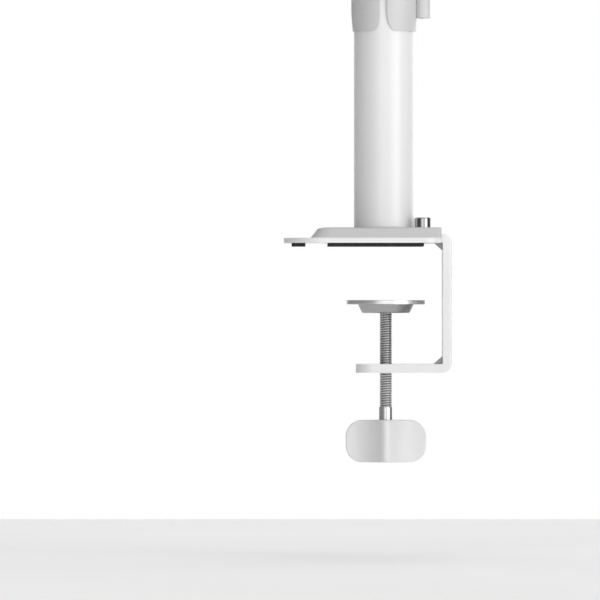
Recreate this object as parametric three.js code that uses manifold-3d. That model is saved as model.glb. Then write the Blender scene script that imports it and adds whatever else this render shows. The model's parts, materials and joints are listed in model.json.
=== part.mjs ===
// Monitor arm: desk clamp, post, swinging lower arm, gas-spring arm and tilting screen plate.
// Millimetres, +Z up. The post stands on x = y = 0, and z = 0 is the top of the desk that the clamp
// grips. The arm reaches out over the desk along -X, and the clamp hooks round the edge at +X.

import * as THREE from 'three';
import { mergeVertices } from 'three/addons/utils/BufferGeometryUtils.js';
import Module from 'manifold-3d';

const wasm = await Module();
wasm.setup();

// ---- driving dimensions ----

const GAP = 0.3; // running clearance between pieces that turn or slide on each other
const FIT = 0.1; // clearance between pieces that are pressed or screwed together
const SOCKET_DEPTH = 3.2; // hexagon sockets in the bolt heads

// Foot: two foam pads, a steel plate and a die-cast body
const PAD_TOP = 2.1;
const FRONT_PAD = { front: -58.3, rear: -49.6, halfWidth: 30, corner: 3 };
const REAR_PAD = { front: -35.7, rear: 24.8, halfWidth: 38, corner: 6 };
const PLATE = { top: 5.3, front: -63.2, rear: 35, halfWidth: 45, frontCorner: 26, rearCorner: 10 };
const BODY = { top: 11.9, front: -46.4, rear: 35.8, halfWidth: 37, frontCorner: 12, rearCorner: 3 };
const BODY_SLOPE = [[5.3, 0], [10.1, 3.8], [11.3, 5.4], [11.9, 7.9]]; // height, inset
const SPIGOT = { radius: 16.2, top: 32 };

// Post and the spindle in its top
const POST = { outer: 19, inner: 16.5, top: 190 };
const PLUG = { bottom: 32.3, top: 50 };
const POST_BOLT = { radius: 5, headRadius: 9, headBottom: 3.4, headTop: 8.6, top: 48, socket: 4.6 };
const SPINDLE = { bottom: 160, flangeTop: 193, neck: 12, top: 241.2, boltBore: 4.1, boltDepth: 22 };
const HUB_WASHER = { lowerRadius: 21, upperRadius: 20 };
const HUB_DISC = { inner: 4.2, outer: 18, thickness: 3 };
const HUB_BOLT = { radius: 4, headRadius: 6.5, headTop: 7.5, length: 18, socket: 3.5 };

// Clamp: C bracket, screw, pressure pad and knob
const BRACKET = {
  tongueFront: 10, tongueBottom: 2.4, tongueTop: 7.9, inner: 36.7, outer: 42.3,
  armTop: -74, armBottom: -79.4, armFront: -17.8, halfWidth: 25, bend: 6, corner: 11,
};
const GUSSET = { length: 5.3, height: 4.8, offset: 12, halfWidth: 2.5 };
const BRACKET_BOLT = { x: 24.3, y: 16, radius: 3, headRadius: 5, headHeight: 6.3, socket: 2.9 };
const CLAMP_X = 1.1;
const DISC = { radius: 24.7, top: -33.8, bottom: -36.5 };
const DISH = { topRadius: 17.5, bottomRadius: 15, bottom: -41.9 };
const SCREW = { radius: 4, top: -38.8, bottom: -101.1, studRadius: 3.2, studBottom: -123.7 };
const FERRULE = { radius: 4.3, bottom: -109.2 };
const KNOB = {
  width: 50.6, bottom: -135.9, sideCorner: 10.5, tip: 4, bend: 11, shoulderX: 4, shoulder: 14,
};
const RIVET = { radius: 1.5, headRadius: 4, headDepth: 2, bottom: -51.5 };

// Cable collar on the post
const COLLAR = {
  inner: 19.15, outer: 20.7, foot: 19.8, bottom: 135.3, taperTop: 146, top: 178,
  slotFront: -3, slotRear: 1.8,
};
const COLLAR_CORNERS = { frontWidth: 5, frontHeight: 10, rearWidth: 6.5, rearHeight: 14 };
const LUG = { bottom: 160, top: 174, reach: 28.5, thickness: 3 };
const COLLAR_SCREW = { radius: 1.5, headRadius: 3, headHeight: 3, depth: 5.2, hole: 1.8, inset: 3.4 };
const HOOK = { front: 19.8, rear: 29, halfWidth: 6.6, wall: 1.6, bottom: 143.8, corner: 4.5, mouth: 2.3 };

// Lower arm
const REACH_1 = 230;
const HUB = { radius: 23.5, bottom: 195, top: 239, bore: 14 };
const BEAM = { halfWidth: 15, bottom: 200, top: 232, channel: 11, channelTop: 222 };
const ELBOW = { radius: 22, top: 236, bore: 11, capBottom: 184.3, washer: 20 };
const BUSH_LENGTH = 12;
const ARM_COVER = { thickness: 2.5, corner: 2 };
const KNUCKLE = { discBottom: 238, discTop: 246, spindle: 8.8, stud: 5, studBottom: 187, neckWidth: 16 };
const ELBOW_NUT = { radius: 9.2, bottom: 188, top: 194 };

// Gas-spring arm: a parallelogram of the channel and two tie links
const PIVOT_HEIGHT = 298;
const REACH_2 = 240;
const CHANNEL = { radius: 22, halfWidth: 19, wall: 2.5 };
const CHEEK = { inner: 6, outer: 11, radius: 12, slotBottom: 258 };
const LINK = { drop: 14, inner: 11.5, outer: 14.8, halfHeight: 4, eye: 7, boss: 3.5, bossEnd: 15.4 };
const PIN = 4;
const PIVOT_CAP = { radius: 9, faceRadius: 8, thickness: 2.2 };
const STRUT = {
  drop: 18, frontX: -205, frontDrop: 2, pin: 2.5, radius: 7.5, cylinderRear: -110, rod: 3.5,
  eyeInner: 6.1, eyeOuter: 8.2, eyeLift: 3.1, eyeHalfWidth: 4,
};
const COVER_2 = { rear: -50, front: -205, top: -19.4, bottom: -21.8 };

// Head: swivel, tilt and turn
const SWIVEL = { x: -42, z: -22, boss: 15, halfHeight: 14, pin: 5, plate: 4.7 };
const TILT_X = -50;
const EAR = { inner: 12, outer: 17, radius: 10 };
const TILT_BOLT = { headRadius: 6.5, headHeight: 5, socket: 2.9, nutRadius: 7.5, nutHeight: 5.5 };
const BLOCK = { barrel: 11, collar: 13.5, shoulder: -11.5 };
const GRUB = { x: -16, radius: 2, hole: 2.1, top: 13.2 };
const ROTOR = { radius: 8, flange: 24, root: -5.6, back: -21.3, front: -24 };
const SCREEN_PLATE = { size: 115, thickness: 2.5, corner: 8, hole: 2.6, patterns: [37.5, 50] };

// ---- solids from three.js geometry, joined and cut by manifold-3d ----

function solid(geometry) {
  geometry.deleteAttribute('normal');
  geometry.deleteAttribute('uv');
  const merged = mergeVertices(geometry, 1e-4);
  const corners = merged.index.array;
  const triangles = [];
  for (let i = 0; i < corners.length; i += 3) {
    const [a, b, c] = [corners[i], corners[i + 1], corners[i + 2]];
    if (a !== b && b !== c && c !== a) triangles.push(a, b, c);
  }
  return new wasm.Manifold(new wasm.Mesh({
    numProp: 3,
    vertProperties: new Float32Array(merged.attributes.position.array),
    triVerts: new Uint32Array(triangles),
  }));
}

function toGeometry(body) {
  const { vertProperties, triVerts } = body.getMesh();
  const geometry = new THREE.BufferGeometry();
  geometry.setAttribute('position', new THREE.BufferAttribute(vertProperties, 3));
  geometry.setIndex(new THREE.BufferAttribute(triVerts, 1));
  geometry.computeVertexNormals();
  return geometry;
}

const join = (first, ...others) => others.reduce((body, other) => body.add(other), first);
const cut = (first, ...others) => others.reduce((body, other) => body.subtract(other), first);

function cylinder(along, radius, from, to, across = [0, 0], segments = 20, endRadius = radius) {
  const geometry = new THREE.CylinderGeometry(endRadius, radius, to - from, segments);
  const middle = (from + to) / 2;
  if (along === 'x') geometry.rotateZ(-Math.PI / 2).translate(middle, ...across);
  if (along === 'y') geometry.translate(across[0], middle, across[1]);
  if (along === 'z') geometry.rotateX(Math.PI / 2).translate(...across, middle);
  return solid(geometry);
}

function box([x0, x1], [y0, y1], [z0, z1]) {
  const geometry = new THREE.BoxGeometry(x1 - x0, y1 - y0, z1 - z0);
  return solid(geometry.translate((x0 + x1) / 2, (y0 + y1) / 2, (z0 + z1) / 2));
}

const AXES = {
  x: new THREE.Vector3(1, 0, 0),
  y: new THREE.Vector3(0, 1, 0),
  z: new THREE.Vector3(0, 0, 1),
};
const SIDE_VIEW = new THREE.Matrix4().makeBasis(AXES.x, AXES.z, AXES.y.clone().negate());
const END_VIEW = new THREE.Matrix4().makeBasis(AXES.y, AXES.z, AXES.x);

// Extrudes an outline drawn in XY along z, in XZ along y, or in YZ along x.
function extrude(outline, along, from, to, curveSegments = 6) {
  const settings = { depth: to - from, bevelEnabled: false, curveSegments };
  const geometry = new THREE.ExtrudeGeometry(outline, settings);
  if (along === 'z') geometry.translate(0, 0, from);
  if (along === 'y') geometry.applyMatrix4(SIDE_VIEW).translate(0, to, 0);
  if (along === 'x') geometry.applyMatrix4(END_VIEW).translate(from, 0, 0);
  return solid(geometry);
}

// Turns a profile of [radius, height] points, listed anticlockwise, about the Z axis.
function turned(profile, segments = 20) {
  const points = profile.map(([radius, height]) => new THREE.Vector2(radius, height));
  return solid(new THREE.LatheGeometry(points, segments).rotateX(Math.PI / 2));
}

function ring(inner, outer, bottom, top, segments = 20) {
  const corners = [[inner, bottom], [outer, bottom], [outer, top], [inner, top], [inner, bottom]];
  return turned(corners, segments);
}

function polygon(points) {
  return new THREE.Shape(points.map(([x, y]) => new THREE.Vector2(x, y)));
}

function roundedRect([x0, x1], halfWidth, radius, farRadius = radius) {
  const quarter = Math.PI / 2;
  const shape = new THREE.Shape();
  shape.moveTo(x0 + radius, -halfWidth);
  shape.absarc(x1 - farRadius, farRadius - halfWidth, farRadius, -quarter, 0);
  shape.absarc(x1 - farRadius, halfWidth - farRadius, farRadius, 0, quarter);
  shape.absarc(x0 + radius, halfWidth - radius, radius, quarter, 2 * quarter);
  shape.absarc(x0 + radius, radius - halfWidth, radius, 2 * quarter, 3 * quarter);
  return shape;
}

// A slot shape with round ends about (x0, y) and (x1, y).
function stadium(x0, x1, y, radius) {
  const shape = new THREE.Shape();
  shape.absarc(x1, y, radius, -Math.PI / 2, Math.PI / 2);
  shape.absarc(x0, y, radius, Math.PI / 2, 1.5 * Math.PI);
  return shape;
}

// Joins outlines of equal point count at rising heights into one closed body.
function loft(sections) {
  const count = sections[0].outline.length;
  const last = (sections.length - 1) * count;
  const places = sections.flatMap(({ outline, height }) => outline.flatMap(({ x, y }) => [x, y, height]));
  const index = [];
  for (const [a, b, c] of THREE.ShapeUtils.triangulateShape(sections[0].outline, [])) {
    index.push(c, b, a, last + a, last + b, last + c);
  }
  for (let side = 0; side < last; side += 1) {
    const next = side % count === count - 1 ? side + 1 - count : side + 1;
    index.push(side, next, next + count, side, next + count, side + count);
  }
  const geometry = new THREE.BufferGeometry();
  geometry.setAttribute('position', new THREE.Float32BufferAttribute(places, 3));
  geometry.setIndex(index);
  return solid(geometry);
}

// ---- finishes ----

const finish = (color, roughness, metalness) => () => (
  new THREE.MeshStandardMaterial({ color, roughness, metalness })
);
const whitePaint = finish(0xf1f1f2, 0.45, 0);
const whitePlastic = finish(0xeeeeef, 0.5, 0);
const lightGreyPlastic = finish(0xcfd1d3, 0.55, 0);
const greyPlastic = finish(0x8f9296, 0.6, 0);
const blackFoam = finish(0x1b1b1c, 0.95, 0);
const blackPlastic = finish(0x232325, 0.6, 0);
const zinc = finish(0xb4b6b8, 0.35, 0.9);
const chrome = finish(0xd8dadc, 0.12, 1);
const darkSteel = finish(0x6d7073, 0.4, 0.9);
const bronze = finish(0xa98a5a, 0.5, 0.6);

function piece(name, body, makeFinish, place = [0, 0, 0]) {
  const mesh = new THREE.Mesh(toGeometry(body), makeFinish());
  mesh.name = name;
  mesh.position.set(...place);
  return mesh;
}

function group(place, ...children) {
  const held = new THREE.Group();
  held.position.set(...place);
  held.add(...children.flat());
  return held;
}

// ---- foot ----

function foamPad(name, { front, rear, halfWidth, corner }) {
  return piece(name, extrude(roundedRect([front, rear], halfWidth, corner), 'z', 0, PAD_TOP, 4), blackFoam);
}

function basePlate() {
  const { top, front, rear, halfWidth, frontCorner, rearCorner } = PLATE;
  const outline = roundedRect([front, rear], halfWidth, frontCorner, rearCorner);
  const notchWidth = BRACKET.halfWidth + GAP;
  const notch = box([BRACKET.tongueFront - GAP, rear + 1], [-notchWidth, notchWidth], [0, top + 1]);
  const boltHole = cylinder('z', POST_BOLT.headRadius + 1, 0, top + 1);
  return piece('base_plate', cut(extrude(outline, 'z', PAD_TOP, top, 8), notch, boltHole), whitePaint);
}

function baseBody() {
  const { front, rear, halfWidth, frontCorner, rearCorner, top } = BODY;
  const sections = BODY_SLOPE.map(([height, inset]) => {
    const corner = frontCorner - inset / 2;
    const shape = roundedRect([front + inset, rear], halfWidth - inset, corner, rearCorner);
    return { outline: shape.getPoints(5).slice(0, -1), height };
  });
  const spigot = cylinder('z', SPIGOT.radius, top - 1, SPIGOT.top, [0, 0], 24);
  const pocketWidth = BRACKET.halfWidth + GAP;
  const pocket = box(
    [BRACKET.tongueFront - GAP, rear + 1], [-pocketWidth, pocketWidth], [0, BRACKET.tongueTop + GAP],
  );
  const headRoom = cylinder('z', POST_BOLT.headRadius + 2 * GAP, 0, POST_BOLT.headTop);
  const boltHole = cylinder('z', POST_BOLT.radius + GAP, 0, SPIGOT.top + 1);
  const clampHoles = [-1, 1].map((side) => (
    cylinder('z', BRACKET_BOLT.radius + GAP, 0, top + 1, [BRACKET_BOLT.x, side * BRACKET_BOLT.y], 16)
  ));
  const body = cut(join(loft(sections), spigot), pocket, headRoom, boltHole, ...clampHoles);
  return piece('base_body', body, whitePaint);
}

function postBolt() {
  const { radius, headRadius, headBottom, headTop, top, socket } = POST_BOLT;
  const head = cylinder('z', headRadius, headBottom, headTop);
  const hexHole = cylinder('z', socket, 0, headBottom + SOCKET_DEPTH, [0, 0], 6);
  return piece('post_bolt', cut(join(head, cylinder('z', radius, headTop - 1, top)), hexHole), darkSteel);
}

function foot() {
  return [
    foamPad('front_pad', FRONT_PAD), foamPad('rear_pad', REAR_PAD), basePlate(), baseBody(), postBolt(),
  ];
}

// ---- post ----

function postTube() {
  return piece('post', ring(POST.inner, POST.outer, BODY.top, POST.top, 40), whitePaint);
}

function postPlug() {
  const body = ring(POST_BOLT.radius + FIT, SPIGOT.radius, PLUG.bottom, PLUG.top, 24);
  return piece('post_plug', body, darkSteel);
}

function postSpindle() {
  const { bottom, flangeTop, neck, top, boltBore, boltDepth } = SPINDLE;
  const profile = [
    [0, bottom], [SPIGOT.radius, bottom], [SPIGOT.radius, POST.top], [POST.outer, POST.top],
    [POST.outer, flangeTop], [neck, flangeTop], [neck, top], [0, top],
  ];
  const boltHole = cylinder('z', boltBore, top - boltDepth, top + 1, [0, 0], 16);
  return piece('post_spindle', cut(turned(profile, 24), boltHole), zinc);
}

function hubRetainers() {
  const { top, flangeTop, neck } = SPINDLE;
  const { radius, headRadius, headTop, length, socket } = HUB_BOLT;
  const { inner, outer, thickness } = HUB_DISC;
  const lowerWasher = ring(neck + GAP, HUB_WASHER.lowerRadius, flangeTop, HUB.bottom - FIT);
  const upperWasher = ring(neck + GAP, HUB_WASHER.upperRadius, HUB.top + FIT, top - FIT);
  const shank = cylinder('z', radius, -length, thickness + 1, [0, 0], 16);
  const bolt = cut(
    join(cylinder('z', headRadius, thickness, headTop), shank),
    cylinder('z', socket, headTop - SOCKET_DEPTH, headTop + 1, [0, 0], 6),
  );
  return [
    piece('hub_thrust_washer', lowerWasher, blackPlastic),
    piece('hub_top_washer', upperWasher, bronze),
    piece('hub_retaining_disc', ring(inner, outer, top, top + thickness), darkSteel),
    piece('hub_retaining_bolt', bolt, darkSteel, [0, 0, top]),
  ];
}

// ---- desk clamp ----

function bracketProfile() {
  const { tongueFront, tongueBottom, tongueTop, inner, outer, armTop, armBottom, armFront, bend } = BRACKET;
  const shape = new THREE.Shape();
  shape.moveTo(tongueFront, tongueTop);
  shape.lineTo(tongueFront, tongueBottom);
  shape.lineTo(inner, tongueBottom);
  shape.lineTo(inner, armTop);
  shape.lineTo(armFront, armTop);
  shape.lineTo(armFront, armBottom);
  shape.absarc(outer - bend, armBottom + bend, bend, -Math.PI / 2, 0);
  shape.absarc(outer - bend, tongueTop - bend, bend, 0, Math.PI / 2);
  return shape;
}

function gusset(side, corner, height) {
  const y = side * GUSSET.offset;
  const x = BRACKET.inner + 1;
  const outline = polygon([[x, corner - height / 8], [x - 1 - GUSSET.length, corner], [x, corner + height]]);
  return extrude(outline, 'y', y - GUSSET.halfWidth, y + GUSSET.halfWidth);
}

function clampBracket() {
  const { tongueBottom, outer, armTop, armBottom, armFront, halfWidth, corner, tongueTop } = BRACKET;
  const plan = extrude(roundedRect([armFront, outer], halfWidth, corner, 1.5), 'z', armBottom - 1, 9, 6);
  const sheet = extrude(bracketProfile(), 'y', -halfWidth, halfWidth, 6).intersect(plan);
  const gussets = [-1, 1].flatMap((side) => [
    gusset(side, tongueBottom, -GUSSET.height), gusset(side, armTop, GUSSET.height),
  ]);
  const screwHole = cylinder('z', SCREW.radius + GAP, armBottom - 1, armTop + 1, [CLAMP_X, 0]);
  const boltHoles = [-1, 1].map((side) => (
    cylinder('z', BRACKET_BOLT.radius + FIT, 0, tongueTop + 1, [BRACKET_BOLT.x, side * BRACKET_BOLT.y], 16)
  ));
  return piece('clamp_bracket', cut(join(sheet, ...gussets), screwHole, ...boltHoles), whitePaint);
}

function bracketBolt(name, side) {
  const { x, y, radius, headRadius, headHeight, socket } = BRACKET_BOLT;
  const shankBottom = BRACKET.tongueBottom + FIT - BODY.top;
  const body = cut(
    join(cylinder('z', headRadius, 0, headHeight), cylinder('z', radius, shankBottom, 1, [0, 0], 16)),
    cylinder('z', socket, headHeight - SOCKET_DEPTH, headHeight + 1, [0, 0], 6),
  );
  return piece(name, body, chrome, [x, side * y, BODY.top]);
}

function clampPad() {
  const { radius, top, bottom } = DISC;
  const { radius: shank, headRadius, headDepth } = RIVET;
  const rivetHole = cylinder('z', shank + GAP, DISH.bottom, top + 1, [0, 0], 16);
  const sink = cylinder('z', shank + GAP, top - headDepth - GAP, top + 0.01, [0, 0], 16, headRadius + GAP);
  const cup = cylinder('z', SCREW.radius + GAP, DISH.bottom - 1, SCREW.top + GAP);
  const disc = cut(cylinder('z', radius, bottom, top, [0, 0], 48), rivetHole, sink);
  const dish = cylinder('z', DISH.bottomRadius, DISH.bottom, bottom, [0, 0], 32, DISH.topRadius);
  return [
    piece('pressure_disc', disc, zinc), piece('pressure_dish', cut(dish, rivetHole, cup), zinc),
  ];
}

const knobSlope = (KNOB.shoulder - KNOB.tip) / (KNOB.bend - KNOB.shoulderX);
const knobCrown = KNOB.shoulder + knobSlope * KNOB.shoulderX;

// Two hollow-sided wings that flare into a rounded ridge in front and behind.
function knobPlan() {
  const { width, tip, bend, shoulderX, shoulder } = KNOB;
  const tipX = width / 2 - tip;
  const shape = new THREE.Shape();
  shape.absarc(tipX, 0, tip, -Math.PI / 2, Math.PI / 2);
  shape.quadraticCurveTo(bend, tip, shoulderX, shoulder);
  shape.quadraticCurveTo(0, knobCrown, -shoulderX, shoulder);
  shape.quadraticCurveTo(-bend, tip, -tipX, tip);
  shape.absarc(-tipX, 0, tip, Math.PI / 2, 1.5 * Math.PI);
  shape.quadraticCurveTo(-bend, -tip, -shoulderX, -shoulder);
  shape.quadraticCurveTo(0, -knobCrown, shoulderX, -shoulder);
  shape.quadraticCurveTo(bend, -tip, tipX, -tip);
  return shape;
}

function clampKnob() {
  const { width, bottom, sideCorner } = KNOB;
  const halfHeight = (FERRULE.bottom - bottom) / 2;
  const face = roundedRect([-width / 2, width / 2], halfHeight, sideCorner);
  const side = extrude(face, 'y', -knobCrown, knobCrown, 6);
  const wings = extrude(knobPlan(), 'z', -halfHeight, halfHeight, 6).intersect(side);
  const studHole = cylinder('z', SCREW.studRadius + FIT, -2, halfHeight + 1, [0, 0], 16);
  return piece('clamp_knob', cut(wings, studHole), whitePlastic, [0, 0, bottom + halfHeight]);
}

function clampScrew() {
  const { radius, top, bottom, studRadius, studBottom } = SCREW;
  const { radius: shank, headRadius, headDepth } = RIVET;
  const rivetHole = cylinder('z', shank + FIT, RIVET.bottom - 1, top + 1, [0, 0], 12);
  const stud = cylinder('z', studRadius, studBottom, bottom + 1, [0, 0], 16);
  const screw = cut(join(cylinder('z', radius, bottom, top), stud), rivetHole);
  const ferrule = ring(studRadius + FIT, FERRULE.radius, FERRULE.bottom, bottom);
  const rivetTop = DISC.top - 2 * FIT;
  const head = cylinder('z', shank, rivetTop - headDepth, rivetTop, [0, 0], 16, headRadius);
  const rivet = join(head, cylinder('z', shank, RIVET.bottom, rivetTop - 1, [0, 0], 16));
  return [
    piece('clamp_screw', screw, darkSteel), piece('screw_ferrule', ferrule, chrome),
    piece('pad_rivet', rivet, zinc), clampKnob(),
  ];
}

// ---- cable collar ----

const screwY = LUG.reach - COLLAR_SCREW.inset;
const screwHeight = (LUG.bottom + LUG.top) / 2;

function collarShell(rearSide) {
  const { inner, outer, foot, bottom, taperTop, top, slotFront, slotRear } = COLLAR;
  const reach = LUG.reach + 10;
  const half = rearSide ? [slotRear, reach] : [-reach, slotFront];
  const lugX = rearSide ? [slotRear, slotRear + LUG.thickness] : [slotFront - LUG.thickness, slotFront];
  const lugs = box(lugX, [-LUG.reach, LUG.reach], [LUG.bottom, LUG.top]);
  const bore = cylinder('z', inner, bottom - 1, top + 1, [0, 0], 48);
  const barrel = turned([[0, bottom], [foot, bottom], [outer, taperTop], [outer, top], [0, top]], 48);
  const shell = join(barrel, lugs);
  const pieces = rearSide ? [cableHook()] : [];
  const screwHoles = [-1, 1].map((side) => (
    cylinder('x', COLLAR_SCREW.hole, -reach, reach, [side * screwY, screwHeight], 12)
  ));
  const kept = box(half, [-reach, reach], [bottom, top]);
  return cut(join(shell, ...pieces).intersect(kept), bore, collarCorner(rearSide), ...screwHoles);
}

// The lower corners beside the slot are rounded off by a quarter ellipse.
function collarCorner(rearSide) {
  const { bottom, slotFront, slotRear } = COLLAR;
  const { frontWidth, frontHeight, rearWidth, rearHeight } = COLLAR_CORNERS;
  const [edge, width, height] = rearSide
    ? [slotRear, rearWidth, rearHeight] : [slotFront, -frontWidth, frontHeight];
  const shape = new THREE.Shape();
  shape.moveTo(edge - width / 4, bottom - 1);
  shape.lineTo(edge + width, bottom - 1);
  shape.lineTo(edge + width, bottom);
  shape.quadraticCurveTo(edge, bottom, edge, bottom + height);
  shape.lineTo(edge - width / 4, bottom + height);
  return extrude(shape, 'y', -COLLAR.outer - 2, COLLAR.outer + 2, 5);
}

function cableHook() {
  const { front, rear, halfWidth, wall, bottom, corner, mouth } = HOOK;
  const outside = roundedRect([front, rear], halfWidth, corner);
  const inside = roundedRect([front + wall, rear - wall], halfWidth - wall, corner - wall);
  const loop = cut(
    extrude(outside, 'z', bottom, COLLAR.top, 4),
    extrude(inside, 'z', bottom - 1, COLLAR.top + 1, 4).subtract(
      cylinder('z', COLLAR.outer, bottom - 2, COLLAR.top + 2, [0, 0], 48),
    ),
  );
  return cut(loop, box([rear - 2 * wall, rear + 1], [-mouth, mouth], [bottom - 1, COLLAR.top + 1]));
}

function collarScrew(name, side) {
  const { radius, headRadius, headHeight, depth } = COLLAR_SCREW;
  const middle = (COLLAR.slotFront + COLLAR.slotRear) / 2;
  const seat = COLLAR.slotRear + LUG.thickness;
  const head = cylinder('x', headRadius, seat, seat + headHeight, [0, 0], 16);
  const shank = cylinder('x', radius, middle - depth, seat + 1, [0, 0], 12);
  const socket = cylinder('x', radius, seat + headHeight / 2, seat + headHeight + 1, [0, 0], 6);
  return piece(name, cut(join(head, shank), socket), zinc, [0, side * screwY, screwHeight]);
}

function cableCollar() {
  return [
    piece('collar_front_shell', collarShell(false), lightGreyPlastic),
    piece('collar_rear_shell', collarShell(true), lightGreyPlastic),
    collarScrew('collar_screw_near', -1), collarScrew('collar_screw_far', 1),
  ];
}

// ---- lower arm ----

function lowerArmCasting() {
  const { radius, bottom, top, bore } = HUB;
  const { halfWidth, channel, channelTop } = BEAM;
  const hub = cylinder('z', radius, bottom, top, [0, 0], 32);
  const boss = cylinder('z', ELBOW.radius, bottom, ELBOW.top, [-REACH_1, 0], 32);
  const section = roundedRect([BEAM.bottom, BEAM.top], halfWidth, 1, 8);
  const turnedSection = new THREE.Shape(section.getPoints(4).map(({ x, y }) => new THREE.Vector2(-y, x)));
  const beam = extrude(turnedSection, 'x', -REACH_1, 0);
  const trough = box(
    [-REACH_1 + ELBOW.radius + 1, -radius - 1], [-channel, channel], [BEAM.bottom - 1, channelTop],
  );
  const hubBore = cylinder('z', bore, bottom - 1, top + 1, [0, 0], 24);
  const elbowBore = cylinder('z', ELBOW.bore, bottom - 1, top, [-REACH_1, 0], 24);
  return piece('lower_arm', cut(join(hub, beam, boss), trough, hubBore, elbowBore), whitePaint);
}

function bush(name, inner, outer, bottom, x) {
  return piece(name, ring(inner, outer, 0, BUSH_LENGTH, 24), bronze, [x, 0, bottom]);
}

function hubCap() {
  const { radius, top } = HUB;
  const profile = [
    [radius - 2, top + GAP], [radius, top + GAP], [radius, top + 10], [radius - 2.5, top + 14],
    [radius - 8, top + 16.6], [0, top + 17], [0, top + 14.5], [radius - 9, top + 14.2],
    [radius - 4.5, top + 12], [radius - 2, top + 9], [radius - 2, top + GAP],
  ];
  return piece('hub_cap', turned(profile, 24), whitePlastic);
}

function lowerArm() {
  const elbowCap = [
    [0, ELBOW.capBottom], [ELBOW.radius - 3, ELBOW.capBottom], [ELBOW.radius - 0.2, ELBOW.capBottom + 3],
    [ELBOW.radius - 0.2, HUB.bottom - FIT], [ELBOW.radius - 2.4, HUB.bottom - FIT],
    [ELBOW.radius - 2.4, ELBOW.capBottom + 2], [0, ELBOW.capBottom + 2],
  ];
  const { thickness, corner } = ARM_COVER;
  const cover = roundedRect([-REACH_1 + ELBOW.radius + 2, -HUB.radius - 2], BEAM.channel - 2 * FIT, corner);
  const washer = ring(KNUCKLE.spindle + GAP, ELBOW.washer, ELBOW.top + FIT, KNUCKLE.discBottom - FIT);
  const hubBush = [SPINDLE.neck + 2 * FIT, HUB.bore - FIT];
  const elbowBush = [KNUCKLE.spindle + 2 * FIT, ELBOW.bore - FIT];
  const lowerSeat = HUB.bottom + 2 * FIT;
  const upperSeat = 2 * FIT + BUSH_LENGTH;
  return [
    lowerArmCasting(), hubCap(),
    bush('hub_bush_lower', ...hubBush, lowerSeat, 0),
    bush('hub_bush_upper', ...hubBush, HUB.top - upperSeat, 0),
    bush('elbow_bush_lower', ...elbowBush, lowerSeat, -REACH_1),
    bush('elbow_bush_upper', ...elbowBush, ELBOW.top - upperSeat, -REACH_1),
    piece('lower_arm_cover', extrude(cover, 'z', BEAM.bottom, BEAM.bottom + thickness, 3), whitePlastic),
    piece('elbow_bottom_cap', turned(elbowCap, 24), whitePlastic, [-REACH_1, 0, 0]),
    piece('elbow_thrust_washer', washer, blackPlastic, [-REACH_1, 0, 0]),
  ];
}

// ---- elbow ----

function elbowKnuckle() {
  const { discBottom, discTop, spindle, stud, studBottom, neckWidth } = KNUCKLE;
  const { inner, outer, radius, slotBottom } = CHEEK;
  const neck = polygon([
    [-neckWidth, discTop - 1], [neckWidth, discTop - 1], [radius - 0.5, PIVOT_HEIGHT],
    [0.5 - radius, PIVOT_HEIGHT],
  ]);
  const linkPivot = [0, PIVOT_HEIGHT - LINK.drop];
  const strutPivot = [0, PIVOT_HEIGHT - STRUT.drop];
  const solidKnuckle = join(
    cylinder('z', ELBOW.radius, discBottom, discTop, [0, 0], 32),
    cylinder('z', spindle, HUB.bottom + 0.5, discBottom + 1),
    cylinder('z', stud, studBottom, HUB.bottom + 1, [0, 0], 16),
    extrude(neck, 'y', -outer, outer),
    cylinder('y', radius, -outer, outer, [0, PIVOT_HEIGHT]),
    cylinder('y', LINK.boss, -LINK.bossEnd, LINK.bossEnd, linkPivot, 16),
  );
  return piece('elbow_knuckle', cut(
    solidKnuckle,
    box([-30, 30], [-inner, inner], [slotBottom, PIVOT_HEIGHT + 20]),
    cylinder('y', PIN + GAP, -20, 20, [0, PIVOT_HEIGHT], 16),
    cylinder('y', STRUT.pin + FIT, -outer - 1, outer - 1, strutPivot, 12),
  ), whitePaint);
}

function elbowParts() {
  const { radius, bottom, top } = ELBOW_NUT;
  const nutHole = cylinder('z', KNUCKLE.stud + FIT, bottom - 1, top + 1, [0, 0], 16);
  const nut = cut(cylinder('z', radius, bottom, top, [0, 0], 6), nutHole);
  const strutPin = cylinder('y', STRUT.pin, -CHEEK.outer, CHEEK.outer - 1.2, [0, 0], 12);
  return [
    elbowKnuckle(),
    piece('elbow_nut', nut, zinc),
    piece('strut_rear_pin', strutPin, zinc, [0, 0, PIVOT_HEIGHT - STRUT.drop]),
  ];
}

// ---- gas-spring arm, about its rear pivot ----

function springArmChannel() {
  const { radius, halfWidth, wall } = CHANNEL;
  const inside = halfWidth - wall;
  const outer = extrude(stadium(-REACH_2, 0, 0, radius), 'y', -halfWidth, halfWidth, 10);
  const hollow = extrude(stadium(-REACH_2, 0, 0, radius - wall), 'y', -inside, inside, 10);
  const open = box([-REACH_2 - radius - 1, radius + 1], [-inside, inside], [-radius - 1, 0]);
  const pinHoles = [0, -REACH_2].map((x) => cylinder('y', PIN + FIT, -30, 30, [x, 0], 16));
  const strutHole = cylinder('y', STRUT.pin + FIT, -30, 30, [STRUT.frontX, -STRUT.frontDrop], 12);
  return piece('spring_arm_channel', cut(outer, hollow, open, ...pinHoles, strutHole), whitePaint);
}

function springArmCover() {
  const width = CHANNEL.halfWidth - CHANNEL.wall - GAP;
  const outline = roundedRect([COVER_2.front, COVER_2.rear], width, 2);
  return piece('spring_arm_cover', extrude(outline, 'z', COVER_2.bottom, COVER_2.top, 3), whitePlastic);
}

function pivotCap(name, x, side) {
  const { radius, faceRadius, thickness } = PIVOT_CAP;
  const cap = cylinder('y', radius, FIT, FIT + thickness, [0, 0], 24, faceRadius);
  const turnedCap = side < 0 ? cap.rotate([180, 0, 0]) : cap;
  return piece(name, turnedCap, greyPlastic, [x, side * CHANNEL.halfWidth, 0]);
}

const strutSlope = Math.atan2(STRUT.drop - STRUT.frontDrop, -STRUT.frontX);

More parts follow.
